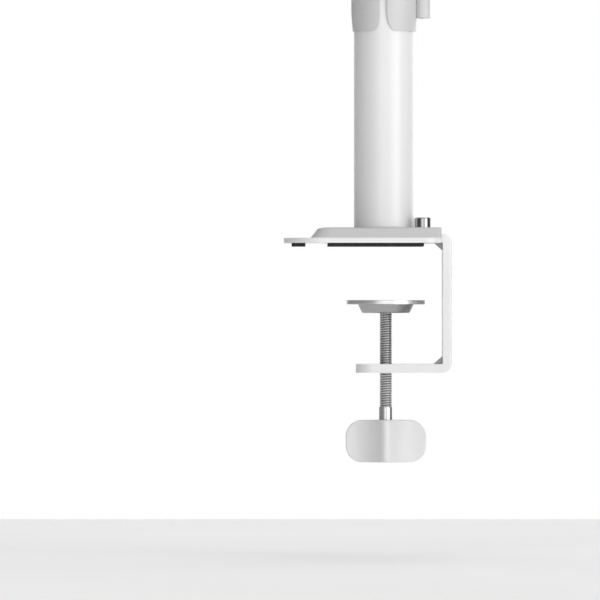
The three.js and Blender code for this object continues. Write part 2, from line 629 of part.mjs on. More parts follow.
// The strut lies along its own x axis from the front pin, then tips down to the rear pin.
function strutPlaced(name, body, makeFinish) {
  const mesh = piece(name, body, makeFinish, [STRUT.frontX, 0, -STRUT.frontDrop]);
  mesh.rotation.y = strutSlope;
  return mesh;
}

function gasCylinder() {
  const rear = STRUT.cylinderRear - STRUT.frontX;
  const tube = cylinder('x', STRUT.radius, 7, rear);
  const eye = cylinder('y', 5.5, -4, 4, [0, 0], 16);
  const shaft = cylinder('x', 4, 1, 8, [0, 0], 16);
  const bore = cylinder('x', STRUT.rod + GAP, 24, rear + 1, [0, 0], 16);
  const pinHole = cylinder('y', STRUT.pin + GAP, -9, 9, [0, 0], 12);
  return strutPlaced('gas_cylinder', cut(join(tube, eye, shaft), bore, pinHole), blackPlastic);
}

function gasRod() {
  const length = Math.hypot(STRUT.frontX, STRUT.drop - STRUT.frontDrop);
  const eyeAt = [length, STRUT.eyeLift];
  const rod = cylinder('x', STRUT.rod, 45, length - STRUT.eyeInner - 0.6, [0, 0], 16);
  const outer = cylinder('y', STRUT.eyeOuter, -STRUT.eyeHalfWidth, STRUT.eyeHalfWidth, eyeAt);
  const inner = cylinder('y', STRUT.eyeInner, -9, 9, eyeAt);
  return strutPlaced('gas_rod', cut(join(rod, outer), inner), chrome);
}

function springArm() {
  const pinLength = CHANNEL.halfWidth - FIT;
  const pin = () => cylinder('y', PIN, -pinLength, pinLength, [0, 0], 16);
  const strutPin = cylinder('y', STRUT.pin, -pinLength, pinLength, [0, 0], 12);
  const ends = [['rear', 0], ['front', -REACH_2]];
  const caps = ends.flatMap(([end, x]) => [
    pivotCap(`${end}_pivot_cap_near`, x, -1), pivotCap(`${end}_pivot_cap_far`, x, 1),
  ]);
  return [
    springArmChannel(), springArmCover(), ...caps, gasCylinder(), gasRod(),
    ...ends.map(([end, x]) => piece(`${end}_pivot_pin`, pin(), zinc, [x, 0, 0])),
    piece('strut_front_pin', strutPin, zinc, [STRUT.frontX, 0, -STRUT.frontDrop]),
  ];
}

function tieLink(name, side) {
  const { drop, inner, outer, halfHeight, eye, boss } = LINK;
  const [from, to] = side < 0 ? [-outer, -inner] : [inner, outer];
  const bar = extrude(polygon([
    [0, -halfHeight], [0, halfHeight], [-REACH_2, halfHeight], [-REACH_2, -halfHeight],
  ]), 'y', from, to);
  const eyes = [0, -REACH_2].map((x) => cylinder('y', eye, from, to, [x, 0]));
  const holes = [0, -REACH_2].map((x) => cylinder('y', boss + GAP, from - 1, to + 1, [x, 0], 16));
  return piece(name, cut(join(bar, ...eyes), ...holes), darkSteel, [0, 0, -drop]);
}

// ---- head, about the front pivot of the gas-spring arm ----

function frontKnuckle() {
  const { inner, outer, radius } = CHEEK;
  const { x, z, boss, halfHeight, pin } = SWIVEL;
  const body = join(
    cylinder('y', radius, -outer, outer),
    box([-10, 10], [-outer, outer], [-33, 0]),
    box([x, 10], [-outer, outer], [-33, -24]),
    cylinder('z', boss, z - halfHeight, z + halfHeight, [x, 0], 32),
    cylinder('y', LINK.boss, -LINK.bossEnd, LINK.bossEnd, [0, -LINK.drop], 16),
  );
  return piece('front_knuckle', cut(
    body,
    cylinder('y', PIN + GAP, -outer - 9, outer + 9, [0, 0], 16),
    cylinder('z', pin + 1.4, z - halfHeight - 1, z + halfHeight + 1, [x, 0]),
    box([radius - inner, radius + 1], [-inner, inner], [-20, radius + 1]),
  ), whitePaint);
}

function headYoke() {
  const { halfHeight, pin, plate, boss } = SWIVEL;
  const top = halfHeight + GAP + plate;
  const { inner, outer, radius } = EAR;
  const wall = [-boss - 11, -boss - 1];
  const earOutline = stadium(TILT_X, wall[1] - radius, 0, radius);
  const ears = [-outer, inner].map((from) => extrude(earOutline, 'y', from, from + outer - inner, 8));
  const plates = [-1, 1].flatMap((side) => {
    const [from, to] = side < 0 ? [-top, -halfHeight - GAP] : [halfHeight + GAP, top];
    return [
      cylinder('z', boss - 2, from, to, [0, 0], 32), box([wall[1] - 1, 0], [2 - boss, boss - 2], [from, to]),
    ];
  });
  const back = box(wall, [-outer, outer], [-top, top]);
  const room = box([TILT_X - 20, wall[0]], [-inner, inner], [-30, 30]);
  return piece('head_yoke', cut(
    join(back, ...ears, ...plates), room,
    cylinder('z', pin + FIT, -30, 30, [0, 0], 16),
    cylinder('y', PIN + FIT, -30, 30, [TILT_X, 0], 16),
  ), whitePaint);
}

function headParts() {
  const { halfHeight, pin, plate } = SWIVEL;
  const { headRadius, headHeight, socket, nutRadius, nutHeight } = TILT_BOLT;
  const seat = EAR.outer;
  const reach = halfHeight + GAP + plate;
  const bushing = ring(pin + 2 * FIT, pin + 1.3, 2 * FIT - halfHeight, halfHeight - 2 * FIT);
  const boltHead = cylinder('y', headRadius, -seat - headHeight, -seat, [0, 0], 24);
  const tiltBolt = cut(
    join(cylinder('y', PIN, -seat - 1, seat + nutHeight - 0.5, [0, 0], 16), boltHead),
    cylinder('y', socket, -seat - headHeight - 1, SOCKET_DEPTH - seat - headHeight, [0, 0], 6),
  );
  const tiltNut = cut(
    cylinder('y', nutRadius, seat + FIT, seat + FIT + nutHeight, [0, 0], 6),
    cylinder('y', PIN + FIT, 0, seat + 2 * nutHeight, [0, 0], 16),
  );
  return [
    headYoke(),
    piece('swivel_pin', cylinder('z', pin, -reach, reach, [0, 0], 16), zinc),
    piece('swivel_bush', bushing, bronze),
    piece('tilt_bolt', tiltBolt, zinc, [TILT_X, 0, 0]),
    piece('tilt_nut', tiltNut, zinc, [TILT_X, 0, 0]),
  ];
}

function tiltBlock() {
  const { barrel, collar, shoulder } = BLOCK;
  const half = EAR.inner - GAP;
  const face = ROTOR.back + GAP;
  return piece('tilt_block', cut(
    join(
      cylinder('y', EAR.radius + 1, -half, half),
      cylinder('x', barrel, shoulder - 1, 0),
      cylinder('x', collar, face, shoulder),
    ),
    cylinder('x', ROTOR.radius + GAP, face - 1, ROTOR.root + GAP),
    cylinder('y', PIN + GAP, -half - 1, half + 1, [0, 0], 16),
    cylinder('z', GRUB.hole, 0, collar + 1, [GRUB.x, 0], 12),
  ), whitePaint);
}

function tiltParts() {
  const { x, radius, top } = GRUB;
  const grub = cylinder('z', radius, ROTOR.radius + GAP + FIT, top, [x, 0], 12);
  return [tiltBlock(), piece('turn_grub_screw', grub, darkSteel)];
}

function screenPlate() {
  const { size, thickness, corner, hole, patterns } = SCREEN_PLATE;
  const outline = roundedRect([-size / 2, size / 2], size / 2, corner);
  const plate = extrude(outline, 'x', ROTOR.front - thickness, ROTOR.front, 6);
  const signs = [[1, 1], [1, -1], [-1, 1], [-1, -1]];
  const holes = patterns.flatMap((offset) => signs.map(([sy, sz]) => (
    cylinder('x', hole, ROTOR.front - 9, ROTOR.front + 9, [sy * offset, sz * offset], 12)
  )));
  return piece('screen_plate', cut(plate, ...holes), whitePaint);
}

function turnParts() {
  const { radius, flange, root, back, front } = ROTOR;
  const rotor = join(cylinder('x', radius, back - 1, root), cylinder('x', flange, front, back, [0, 0], 32));
  return [piece('screen_rotor', rotor, zinc), screenPlate()];
}

// ---- the whole arm ----

const turn = group([TILT_X, 0, 0], tiltParts(), turnParts());
const head = group([SWIVEL.x, 0, SWIVEL.z], headParts(), turn);
const frontEnd = group([-REACH_2, 0, 0], frontKnuckle(), head);
const links = [tieLink('tie_link_near', -1), tieLink('tie_link_far', 1)];
const upperArm = group([0, 0, PIVOT_HEIGHT], springArm(), links, frontEnd);
const elbow = group([-REACH_1, 0, 0], elbowParts(), upperArm);
const clamp = group([CLAMP_X, 0, 0], clampPad(), clampScrew());
const bolts = [bracketBolt('bracket_bolt_near', -1), bracketBolt('bracket_bolt_far', 1)];

const monitorArm = group(
  [0, 0, 0],
  foot(), postTube(), postPlug(), postSpindle(), hubRetainers(), clampBracket(), bolts, clamp,
  cableCollar(), lowerArm(), elbow,
);

export default monitorArm;
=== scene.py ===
import json
import math
import bmesh
import bpy
from mathutils import Matrix, Vector


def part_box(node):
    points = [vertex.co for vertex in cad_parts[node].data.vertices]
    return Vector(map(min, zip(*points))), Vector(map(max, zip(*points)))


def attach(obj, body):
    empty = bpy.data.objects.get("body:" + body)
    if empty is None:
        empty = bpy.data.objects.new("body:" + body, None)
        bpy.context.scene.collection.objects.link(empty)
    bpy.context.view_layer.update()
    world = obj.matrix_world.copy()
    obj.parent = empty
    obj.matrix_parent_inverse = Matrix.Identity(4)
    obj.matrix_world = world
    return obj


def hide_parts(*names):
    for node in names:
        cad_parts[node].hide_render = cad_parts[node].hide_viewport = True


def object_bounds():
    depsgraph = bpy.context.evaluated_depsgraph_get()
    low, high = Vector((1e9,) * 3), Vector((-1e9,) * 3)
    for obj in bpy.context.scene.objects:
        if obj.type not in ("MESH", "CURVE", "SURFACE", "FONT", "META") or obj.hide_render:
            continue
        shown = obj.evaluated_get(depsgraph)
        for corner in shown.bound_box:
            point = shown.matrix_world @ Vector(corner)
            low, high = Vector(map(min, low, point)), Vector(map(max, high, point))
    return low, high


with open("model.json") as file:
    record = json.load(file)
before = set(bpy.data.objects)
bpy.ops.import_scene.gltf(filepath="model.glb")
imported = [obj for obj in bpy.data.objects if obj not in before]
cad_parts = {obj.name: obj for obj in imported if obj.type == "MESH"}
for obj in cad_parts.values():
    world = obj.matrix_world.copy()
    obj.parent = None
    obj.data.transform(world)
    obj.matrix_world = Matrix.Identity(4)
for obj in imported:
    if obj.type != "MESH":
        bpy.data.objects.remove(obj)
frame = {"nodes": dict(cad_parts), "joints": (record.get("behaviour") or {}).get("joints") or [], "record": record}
cad_low, cad_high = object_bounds()

# Shapes are worked out in millimetres in the CAD model's frame and turned to metres when a mesh is made.
MM = 0.001
RECORD = frame["record"]
BODY_OF = {node: body for body, nodes in RECORD["behaviour"]["bodies"].items() for node in nodes}
SLOT_OF = {part["node"]: part["material_slot"] for part in RECORD["subparts"]}
PIVOT = {j["name"]: [v / MM for v in j["pos_m"]] for j in frame["joints"] if "pos_m" in j}


class Span:
    """A CAD node's box at rest, in millimetres."""

    def __init__(self, node):
        low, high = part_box(node)
        self.low = low / MM
        self.high = high / MM
        self.size = self.high - self.low
        self.mid = (self.high + self.low) / 2
        self.plan = (self.low.x, self.high.x), (self.low.y, self.high.y)
        self.height = self.low.z, self.high.z
        self.upright = self.mid.x, self.mid.y


# ---- camera, floor and light ----

VIEW_WIDTH = 378.0
VIEW_CENTRE = (-53.0, -33.7)
LENS = 600.0
SENSOR = 36.0
CLIP_END = 40.0
FLOOR_DROP = 60.0
FLOOR_HALF = 1100.0
FLOOR_CORNER = 60.0
FLOOR_THICKNESS = 10.0


def make_camera():
    """Looks along +Y from far off, as the photo does."""
    data = bpy.data.cameras.new("camera")
    data.lens = LENS
    data.sensor_width = SENSOR
    camera = bpy.data.objects.new("camera", data)
    bpy.context.scene.collection.objects.link(camera)
    distance = VIEW_WIDTH * LENS / SENSOR
    camera.location = Vector((VIEW_CENTRE[0], -distance, VIEW_CENTRE[1])) * MM
    camera.rotation_euler = (math.pi / 2, 0, 0)
    data.clip_end = CLIP_END
    bpy.context.scene.camera = camera


def make_floor():
    middle = (cad_low + cad_high) / 2 / MM
    x, y = ((centre - FLOOR_HALF, centre + FLOOR_HALF) for centre in (middle.x, middle.y))
    top = cad_low.z / MM - FLOOR_DROP
    floor = prism("floor", rounded(x, y, FLOOR_CORNER, steps=7), "z", top - FLOOR_THICKNESS, top)
    floor.data.materials.append(floor_finish())


def node(tree, kind, values=None, **settings):
    """Adds a shader node, sets its properties and its inputs, and links the inputs given as sockets."""
    made = tree.nodes.new(kind)
    for name, value in settings.items():
        setattr(made, name, value)
    for key, value in (values or {}).items():
        if isinstance(value, bpy.types.NodeSocket):
            tree.links.new(value, made.inputs[key])
        else:
            made.inputs[key].default_value = value
    return made


def math_node(tree, operation, first, second):
    return node(tree, "ShaderNodeMath", {0: first, 1: second}, operation=operation).outputs[0]


# Brightness of the studio round the object, by direction: 0 and 1 are behind it, 0.5 is at the camera's side,
# 0.75 is to the right (+X) and 0.25 to the left.
STUDIO = [
    (0.00, 1.40), (0.06, 0.75), (0.11, 0.25), (0.37, 0.12), (0.42, 0.50), (0.46, 2.10), (0.52, 1.50),
    (0.555, 0.80), (0.585, 3.00), (0.65, 4.60), (0.685, 0.50), (0.72, 0.10), (0.82, 0.15), (0.86, 0.90),
    (0.92, 2.00), (1.00, 1.40),
]
# The ring of light fades with height to its share overhead, and an even light from the top comes in.
RING_FADE = (0.0, 0.7)
RING_OVERHEAD = 0.20
TOP_RISE = (0.5, 0.9)
TOP_LIGHT = 1.15


def smooth_step(tree, value, span, result):
    """Eases from result[0] to result[1] as value goes over the span."""
    limits = {0: value, 1: span[0], 2: span[1], 3: result[0], 4: result[1]}
    return node(tree, "ShaderNodeMapRange", limits, interpolation_type="SMOOTHSTEP").outputs[0]


def make_studio():
    world = bpy.data.worlds.new("studio")
    bpy.context.scene.world = world
    world.use_nodes = True
    tree = world.node_tree
    tree.nodes.clear()
    direction = node(tree, "ShaderNodeTexCoord").outputs["Generated"]
    parts = node(tree, "ShaderNodeSeparateXYZ", {0: direction}).outputs
    front = math_node(tree, "MULTIPLY", parts["Y"], -1)
    turn = math_node(tree, "ARCTAN2", parts["X"], front)
    around = math_node(tree, "MULTIPLY_ADD", turn, 0.5 / math.pi)
    around.node.inputs[2].default_value = 0.5
    ring = node(tree, "ShaderNodeValToRGB", {0: around})
    elements = ring.color_ramp.elements
    peak = max(value for _, value in STUDIO)
    for place, value in STUDIO[1:-1]:
        elements.new(place)
    for element, (place, value) in zip(elements, STUDIO):
        element.position = place
        element.color = (*grey(value / peak), 1)
    level = smooth_step(tree, parts["Z"], RING_FADE, (peak, peak * RING_OVERHEAD))
    top = smooth_step(tree, parts["Z"], TOP_RISE, (0, TOP_LIGHT))
    strength = math_node(tree, "ADD", math_node(tree, "MULTIPLY", ring.outputs[0], level), top)
    seen = node(tree, "ShaderNodeBackground", {"Color": (1, 1, 1, 1), "Strength": 1.0}).outputs[0]
    lit = node(tree, "ShaderNodeBackground", {"Color": (1, 1, 1, 1), "Strength": strength}).outputs[0]
    ray = node(tree, "ShaderNodeLightPath").outputs["Is Camera Ray"]
    mixed = node(tree, "ShaderNodeMixShader", {0: ray, 1: lit, 2: seen}).outputs[0]
    node(tree, "ShaderNodeOutputWorld", {"Surface": mixed})
    bpy.context.scene.view_settings.view_transform = "Standard"


# ---- outlines and meshes ----


def arc(centre, radius, start, end, steps=8):
    """Points on a circle from start to end, in degrees."""
    turns = [math.radians(start + (end - start) * i / steps) for i in range(steps + 1)]
    return [(centre[0] + radius * math.cos(t), centre[1] + radius * math.sin(t)) for t in turns]


def fillet(corners, steps=7):
    """A closed outline of (u, v, radius) corners, each rounded to its radius."""
    points = []
    count = len(corners)
    for i, (u, v, radius) in enumerate(corners):
        here = Vector((u, v))
        back = (Vector(corners[i - 1][:2]) - here).normalized()
        ahead = (Vector(corners[(i + 1) % count][:2]) - here).normalized()
        if radius <= 0:
            points.append((u, v))
            continue
        half = back.angle(ahead) / 2
        reach = radius / math.tan(half)
        centre = here + (back + ahead).normalized() * (radius / math.sin(half))
        first = here + back * reach - centre
        last = here + ahead * reach - centre
        sweep = math.pi - 2 * half
        for step in range(steps + 1):
            share = step / steps
            turned = first * math.sin((1 - share) * sweep) + last * math.sin(share * sweep)
            spot = centre + turned / math.sin(sweep)
            points.append((spot.x, spot.y))
    return points


def rounded(x, y, radius, far_radius=None, steps=12):
    """A rectangle with one corner radius at its low-x end and another at its high-x end."""
    far = radius if far_radius is None else far_radius
    return fillet([(x[0], y[0], radius), (x[1], y[0], far), (x[1], y[1], far), (x[0], y[1], radius)], steps)


def capsule(ends, height, radius, steps):
    """A bar with round ends about (ends[0], height) and (ends[1], height)."""
    right = arc((ends[1], height), radius, -90, 90, steps)
    left = arc((ends[0], height), radius, 90, 270, steps)
    return right + left


WELD = 1e-7


def make_mesh(name, points, faces):
    """A new object from points in millimetres and faces, with its normals turned outward."""
    mesh = bpy.data.meshes.new(name)
    mesh.from_pydata([Vector(p) * MM for p in points], [], faces)
    work = bmesh.new()
    work.from_mesh(mesh)
    bmesh.ops.remove_doubles(work, verts=work.verts, dist=WELD)
    bmesh.ops.recalc_face_normals(work, faces=work.faces)
    work.to_mesh(mesh)
    work.free()
    piece = bpy.data.objects.new(name, mesh)
    bpy.context.scene.collection.objects.link(piece)
    return piece


PLACE = {
    "x": lambda u, v, w: (w, u, v),
    "y": lambda u, v, w: (u, w, v),
    "z": lambda u, v, w: (u, v, w),
}


def prism(name, outline, along, low, high):
    """Extrudes an outline drawn in YZ along x, in XZ along y, or in XY along z."""
    count = len(outline)
    points = [PLACE[along](u, v, w) for w in (low, high) for u, v in outline]
    sides = [(i, (i + 1) % count, count + (i + 1) % count, count + i) for i in range(count)]
    caps = [tuple(range(count)), tuple(range(count, 2 * count))]
    return make_mesh(name, points, sides + caps)


def block(x, y, z):
    return prism("block", [(x[0], y[0]), (x[1], y[0]), (x[1], y[1]), (x[0], y[1])], "z", *z)


def band(first, second, count):
    """Faces between two closed rows of points, given by where each row starts."""
    after = [(i + 1) % count for i in range(count)]
    return [(first + i, first + after[i], second + after[i], second + i) for i in range(count)]


def loft(name, sections):
    """Joins (outline, height) sections of equal point count."""
    count = len(sections[0][0])
    points = [(u, v, height) for outline, height in sections for u, v in outline]
    faces = []
    for level in range(len(sections) - 1):
        faces += band(level * count, (level + 1) * count, count)
    faces.append(tuple(range(count)))
    faces.append(tuple(range(len(points) - count, len(points))))
    return make_mesh(name, points, faces)


def revolve(name, profile, along="z", across=(0, 0), segments=96):
    """Turns a closed profile of (radius, height) points about an axis."""
    rows = len(profile)
    points = []
    for i in range(segments):
        turn = 2 * math.pi * i / segments
        for radius, height in profile:
            u = across[0] + radius * math.cos(turn)
            v = across[1] + radius * math.sin(turn)
            points.append(PLACE[along](u, v, height))
    faces = []
    for i in range(segments):
        a = i * rows
        b = (i + 1) % segments * rows
        for k in range(rows):
            after = (k + 1) % rows
            if profile[k][0] > 0 or profile[after][0] > 0:
                faces.append((a + k, b + k, b + after, a + after))
    return make_mesh(name, points, faces)


def rod(along, radius, low, high, across=(0, 0), edge=0.0, segments=72):
    """A round bar with its end edges rounded."""
    corners = [(0, low, 0), (radius, low, edge), (radius, high, edge), (0, high, 0)]
    return revolve("rod", fillet(corners, 4), along, across, segments)


def tube(name, inner, outer, low, high, across=(0, 0), edge=0.25, along="z", segments=96):
    """A ring between two radii with its edges rounded."""
    corners = [(inner, low, edge), (outer, low, edge), (outer, high, edge), (inner, high, edge)]
    return revolve(name, fillet(corners, 4), along, across, segments)


def bake(piece):
    """Turns a piece's modifiers into its mesh."""
    bpy.context.view_layer.update()
    graph = bpy.context.evaluated_depsgraph_get()
    mesh = bpy.data.meshes.new_from_object(piece.evaluated_get(graph))
    piece.modifiers.clear()
    piece.data = mesh
    return piece


def combine(target, operation, others):
    for other in others:
        modifier = target.modifiers.new("combine", "BOOLEAN")
        modifier.operation = operation
        modifier.solver = "MANIFOLD"
        modifier.object = other
    bake(target)
    for other in others:
        bpy.data.objects.remove(other)
    return target


def join(target, *others):
    return combine(target, "UNION", others)


def cut(target, *others):
    return combine(target, "DIFFERENCE", others)


def overlap(target, *others):
    return combine(target, "INTERSECT", others)


def soften(piece, width, segments=3, angle=32):
    """Rounds every edge sharper than angle."""
    modifier = piece.modifiers.new("edges", "BEVEL")
    modifier.width = width * MM
    modifier.segments = segments
    modifier.limit_method = "ANGLE"
    modifier.angle_limit = math.radians(angle)
    modifier.miter_outer = "MITER_ARC"
    return bake(piece)


def smooth(piece, angle):
    """Shades a piece smooth, with an edge wherever its faces meet more sharply than angle."""
    piece.data.polygons.foreach_set("use_smooth", [True] * len(piece.data.polygons))
    piece.data.set_sharp_from_angle(angle=math.radians(angle))
    normals = piece.modifiers.new("normals", "WEIGHTED_NORMAL")
    normals.keep_sharp = True
    return piece


def stand_for(piece, *nodes, finish=None, angle=38, name=None):
    """Finishes a piece that replaces CAD nodes: shading, a material picked by the nodes' slot, name and body, and
    hides the nodes.
    """
    slot = SLOT_OF[nodes[0]]
    piece.name = name or f"{nodes[0]}_surface"
    smooth(piece, angle)
    piece.data.materials.clear()
    piece.data.materials.append(finish or FINISH[slot])
    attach(piece, BODY_OF[nodes[0]])
    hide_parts(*nodes)
    return piece


# ---- finishes ----

# How many features of a noise fit in a metre.
COAT_DRIFT = 22
COAT_GLOSS = 140
COAT_RIPPLE = 260
METAL_CLOUDS = 90
TURNED_CLOUDS = 120
THREAD_MARKS = 2200
FOAM_CELLS = 1900.0
FOAM_CLOUDS = 300
FLOOR_CLOUDS = 3
# Most of a noise's values lie in this span.
NOISE_SPAN = (0.3, 0.7)
# A coat whose gloss varies more ripples deeper: millimetres for each unit of roughness.
RIPPLE_DEPTH = 1.25
RING_SIZE = 0.18
RING_DEPTH = 0.006


def new_finish(name, metallic=0.0):
    material = bpy.data.materials.new(name)
    material.use_nodes = True
    tree = material.node_tree
    shader = tree.nodes["Principled BSDF"]
    shader.inputs["Metallic"].default_value = metallic
    return material, tree, shader


def dress(tree, shader, colour, roughness, normal):
    for name, value in (("Base Color", colour), ("Roughness", roughness), ("Normal", normal)):
        tree.links.new(value, shader.inputs[name])


def spot(tree, offset=(0, 0, 0), stretch=(1, 1, 1)):
    """The point on the piece, in metres from offset, stretched along each axis."""
    here = node(tree, "ShaderNodeTexCoord").outputs["Object"]
    moved = node(tree, "ShaderNodeMapping", {"Vector": here, "Scale": stretch}, vector_type="POINT")
    moved.inputs["Location"].default_value = tuple(-o * s for o, s in zip(offset, stretch))
    return moved.outputs[0]


def noise(tree, vector, scale, detail=3.0, rough=0.5):
    values = {"Vector": vector, "Scale": scale, "Detail": detail, "Roughness": rough}
    return node(tree, "ShaderNodeTexNoise", values).outputs[0]


def between(tree, factor, low, high):
    """Spreads a noise over the values from low to high."""
    values = {0: factor, 1: NOISE_SPAN[0], 2: NOISE_SPAN[1], 3: low, 4: high}
    return node(tree, "ShaderNodeMapRange", values).outputs[0]


def tint(tree, factor, first, second):
    """Mixes two colours by a factor from 0 to 1."""
    mixed = node(tree, "ShaderNodeMix", data_type="RGBA")
    colours = [socket for socket in mixed.inputs if socket.type == "RGBA"]
    factors = [socket for socket in mixed.inputs if socket.type == "VALUE"]
    tree.links.new(factor, factors[0])
    colours[0].default_value = (*first, 1)
    colours[1].default_value = (*second, 1)
    return [socket for socket in mixed.outputs if socket.type == "RGBA"][0]


def bump(tree, height, strength, distance, under=None):
    """A surface normal raised by height, over a distance in millimetres and on top of another normal."""
    values = {"Height": height, "Strength": strength, "Distance": distance * MM}
    if under:
        values["Normal"] = under
    return node(tree, "ShaderNodeBump", values).outputs[0]


def grey(value, warm=0.0):
    return (value * (1 + warm), value, value * (1 - warm))


def coated(name, shade, roughness, peel_size, peel_depth, gloss=0.5, uneven=0.04):
    """Paint or moulded plastic: soft colour drift, fine surface texture and uneven gloss."""
    material, tree, shader = new_finish(name)
    here = spot(tree)
    drift = between(tree, noise(tree, here, COAT_DRIFT), 0, 1)
    grain = noise(tree, here, 1 / (peel_size * MM), 2, 0.55)
    colour = tint(tree, drift, grey(shade * 0.975), grey(shade))
    sheen = between(tree, noise(tree, here, COAT_GLOSS, 4), roughness - uneven, roughness + uneven)
    ripple = bump(tree, noise(tree, here, COAT_RIPPLE, 2), 0.12, RIPPLE_DEPTH * uneven)
    dress(tree, shader, colour, sheen, bump(tree, grain, 0.35, peel_depth, ripple))
    shader.inputs["Specular IOR Level"].default_value = gloss
    return material


def metal(name, shade, roughness, warm=0.0, mark_size=0.25, depth=0.004):
    """Plated or bare metal with fine marks and cloudy patches."""
    material, tree, shader = new_finish(name, metallic=1.0)
    clouds = noise(tree, spot(tree), METAL_CLOUDS, 4, 0.6)
    marks = noise(tree, spot(tree), 1 / (mark_size * MM), 3, 0.6)
    colour = tint(tree, between(tree, clouds, 0, 1), grey(shade * 0.9, warm), grey(shade, warm))
    polish = between(tree, marks, roughness * 0.8, roughness * 1.3)
    dress(tree, shader, colour, polish, bump(tree, marks, 0.3, depth))
    return material


def from_axis(tree, centre):
    """The distance, in metres, from the upright axis through centre (millimetres)."""
    flat = spot(tree, (centre[0] * MM, centre[1] * MM, 0), (1, 1, 0))
    return node(tree, "ShaderNodeVectorMath", {0: flat}, operation="LENGTH").outputs["Value"]


def turned_metal(name, shade, roughness, centre):
    """Metal with fine rings left by turning, round an upright axis through centre (millimetres)."""
    material, tree, shader = new_finish(name, metallic=1.0)
    level = node(tree, "ShaderNodeSeparateXYZ", {0: spot(tree)}).outputs["Z"]
    along = node(tree, "ShaderNodeCombineXYZ", {0: from_axis(tree, centre), 1: level}).outputs[0]
    rings = noise(tree, along, 1 / (RING_SIZE * MM), 2, 0.6)
    clouds = noise(tree, spot(tree), TURNED_CLOUDS, 4, 0.6)
    colour = tint(tree, between(tree, clouds, 0, 1), grey(shade * 0.88), grey(shade))
    polish = between(tree, rings, roughness * 0.75, roughness * 1.35)
    dress(tree, shader, colour, polish, bump(tree, rings, 0.35, RING_DEPTH))
    return material


def threaded_metal(name, root, crest, depth, roughness, centre):
    """Steel thread with painted shade darkening the groove and fine random marks; depth is the (root, crest)
    radius in millimetres over which the painted shade fades.
    """
    material, tree, shader = new_finish(name, metallic=1.0)
    limits = {0: from_axis(tree, centre), 1: depth[0] * MM, 2: depth[1] * MM, 3: 0.0, 4: 1.0}
    unshaded = node(tree, "ShaderNodeMapRange", limits).outputs[0]
    marks = noise(tree, spot(tree), THREAD_MARKS, 3, 0.6)
    unshaded_marked = math_node(tree, "MULTIPLY", unshaded, between(tree, marks, 0.85, 1.0))
    polish = between(tree, unshaded, roughness * 1.5, roughness)
    dress(tree, shader, tint(tree, unshaded_marked, grey(root), grey(crest)), polish, bump(tree, marks, 0.3, 0.004))
    return material


def foam(name):
    """Black foam with a fine cell texture in its surface and mottled colour."""
    material, tree, shader = new_finish(name)
    here = spot(tree)
    cells = node(tree, "ShaderNodeTexVoronoi", {"Vector": here, "Scale": FOAM_CELLS}, feature="F1")
    clouds = noise(tree, here, FOAM_CLOUDS)
    colour = tint(tree, between(tree, clouds, 0, 1), grey(0.012), grey(0.03))
    normal = bump(tree, cells.outputs["Distance"], 0.6, 0.12)
    dress(tree, shader, colour, between(tree, clouds, 0.82, 0.97), normal)
    return material


def floor_finish():
    material, tree, shader = new_finish("floor_paint")
    clouds = noise(tree, spot(tree), FLOOR_CLOUDS, 4)
    colour = tint(tree, between(tree, clouds, 0, 1), grey(0.90), grey(0.93))
    tree.links.new(colour, shader.inputs["Base Color"])
    shader.inputs["Roughness"].default_value = 0.7
    return material


FINISH = {
    "white_paint": coated("powder_coat_white", 0.82, 0.36, 0.42, 0.012),
    "light_grey_plastic": coated("moulded_light_grey", 0.60, 0.42, 0.16, 0.006, gloss=0.45),
    "white_plastic": coated("moulded_white", 0.79, 0.46, 0.16, 0.006, gloss=0.45),
    "grey_plastic": coated("moulded_grey", 0.30, 0.5, 0.16, 0.006),
    "black_foam": foam("foam_black"),
    "black_plastic": coated("moulded_black", 0.022, 0.42, 0.2, 0.004),
    "black_paint": coated("gloss_black", 0.028, 0.22, 0.5, 0.004),
    "zinc_plated_steel": metal("zinc_plate", 0.60, 0.28, 0.01),
    "chrome": metal("bright_chrome", 0.80, 0.08, mark_size=0.6, depth=0.001),
    "dark_steel": metal("dark_steel", 0.30, 0.34),
    "bronze": metal("bearing_bronze", 0.34, 0.45, 0.35, mark_size=0.12, depth=0.01),
}
# The casting wears the white powder coat made darker: painted shade standing in for the dim light on its sloped
# sides.
CAST_PAINT_SHADED = coated("powder_coat_cast_shaded", 0.54, 0.42, 0.42, 0.012)
POST_PAINT = coated("powder_coat_post", 0.78, 0.27, 0.6, 0.008, uneven=0.002)
# The bolt heads' chrome is made darker all over: painted shade for the dark reflections down their sides.
BOLT_CHROME_SHADED = metal("chrome_darkened_for_shade", 0.38, 0.07, mark_size=0.6, depth=0.001)
FERRULE_NICKEL = metal("satin_nickel", 0.66, 0.26, mark_size=0.4, depth=0.002)


# ---- foot ----

GAP = 0.3  # running clearance
PAD_CORNERS = {"front_pad": 3, "rear_pad": 6}
PLATE = {"front_corner": 26, "rear_corner": 10, "hole": 10}
BODY = {"front_corner": 12, "rear_corner": 3, "slope_run": 3.8, "slope_rise": 4.8, "shoulder": 4.1}
SHOULDER_SWEEP = math.radians(55.8)
SHOULDER_STEPS = 8
BOLT_ROOM = {"radius": 9.6, "high": 8.6}
BRACKET = {
    "front": 10, "tongue": 5.5, "back": 5.6, "arm": 5.4, "bend": 6, "inside": 0.7, "front_corner": 11,
    "rear_corner": 1.5, "screw_hole": 4.3,
}


def bracket_room(low, high):
    """The notch in the foot that the bracket's tongue lies in."""
    bracket = Span("clamp_bracket")
    half = bracket.size.y / 2 + GAP
    return block((BRACKET["front"] - GAP, bracket.high.x + 5), (-half, half), (low, high))


def foam_pads():
    for name, corner in PAD_CORNERS.items():
        b = Span(name)
        stand_for(soften(prism(name, rounded(*b.plan, corner), "z", *b.height), 0.25, 2), name)


def base_plate():
    b = Span("base_plate")
    low, high = b.low.z - 1, b.high.z + 1
    corners = (PLATE["front_corner"], PLATE["rear_corner"])
    plate = prism("plate", rounded(*b.plan, *corners, 24), "z", *b.height)
    plate = cut(plate, bracket_room(low, high), rod("z", PLATE["hole"], low, high))
    stand_for(soften(plate, 0.35, 3), "base_plate")


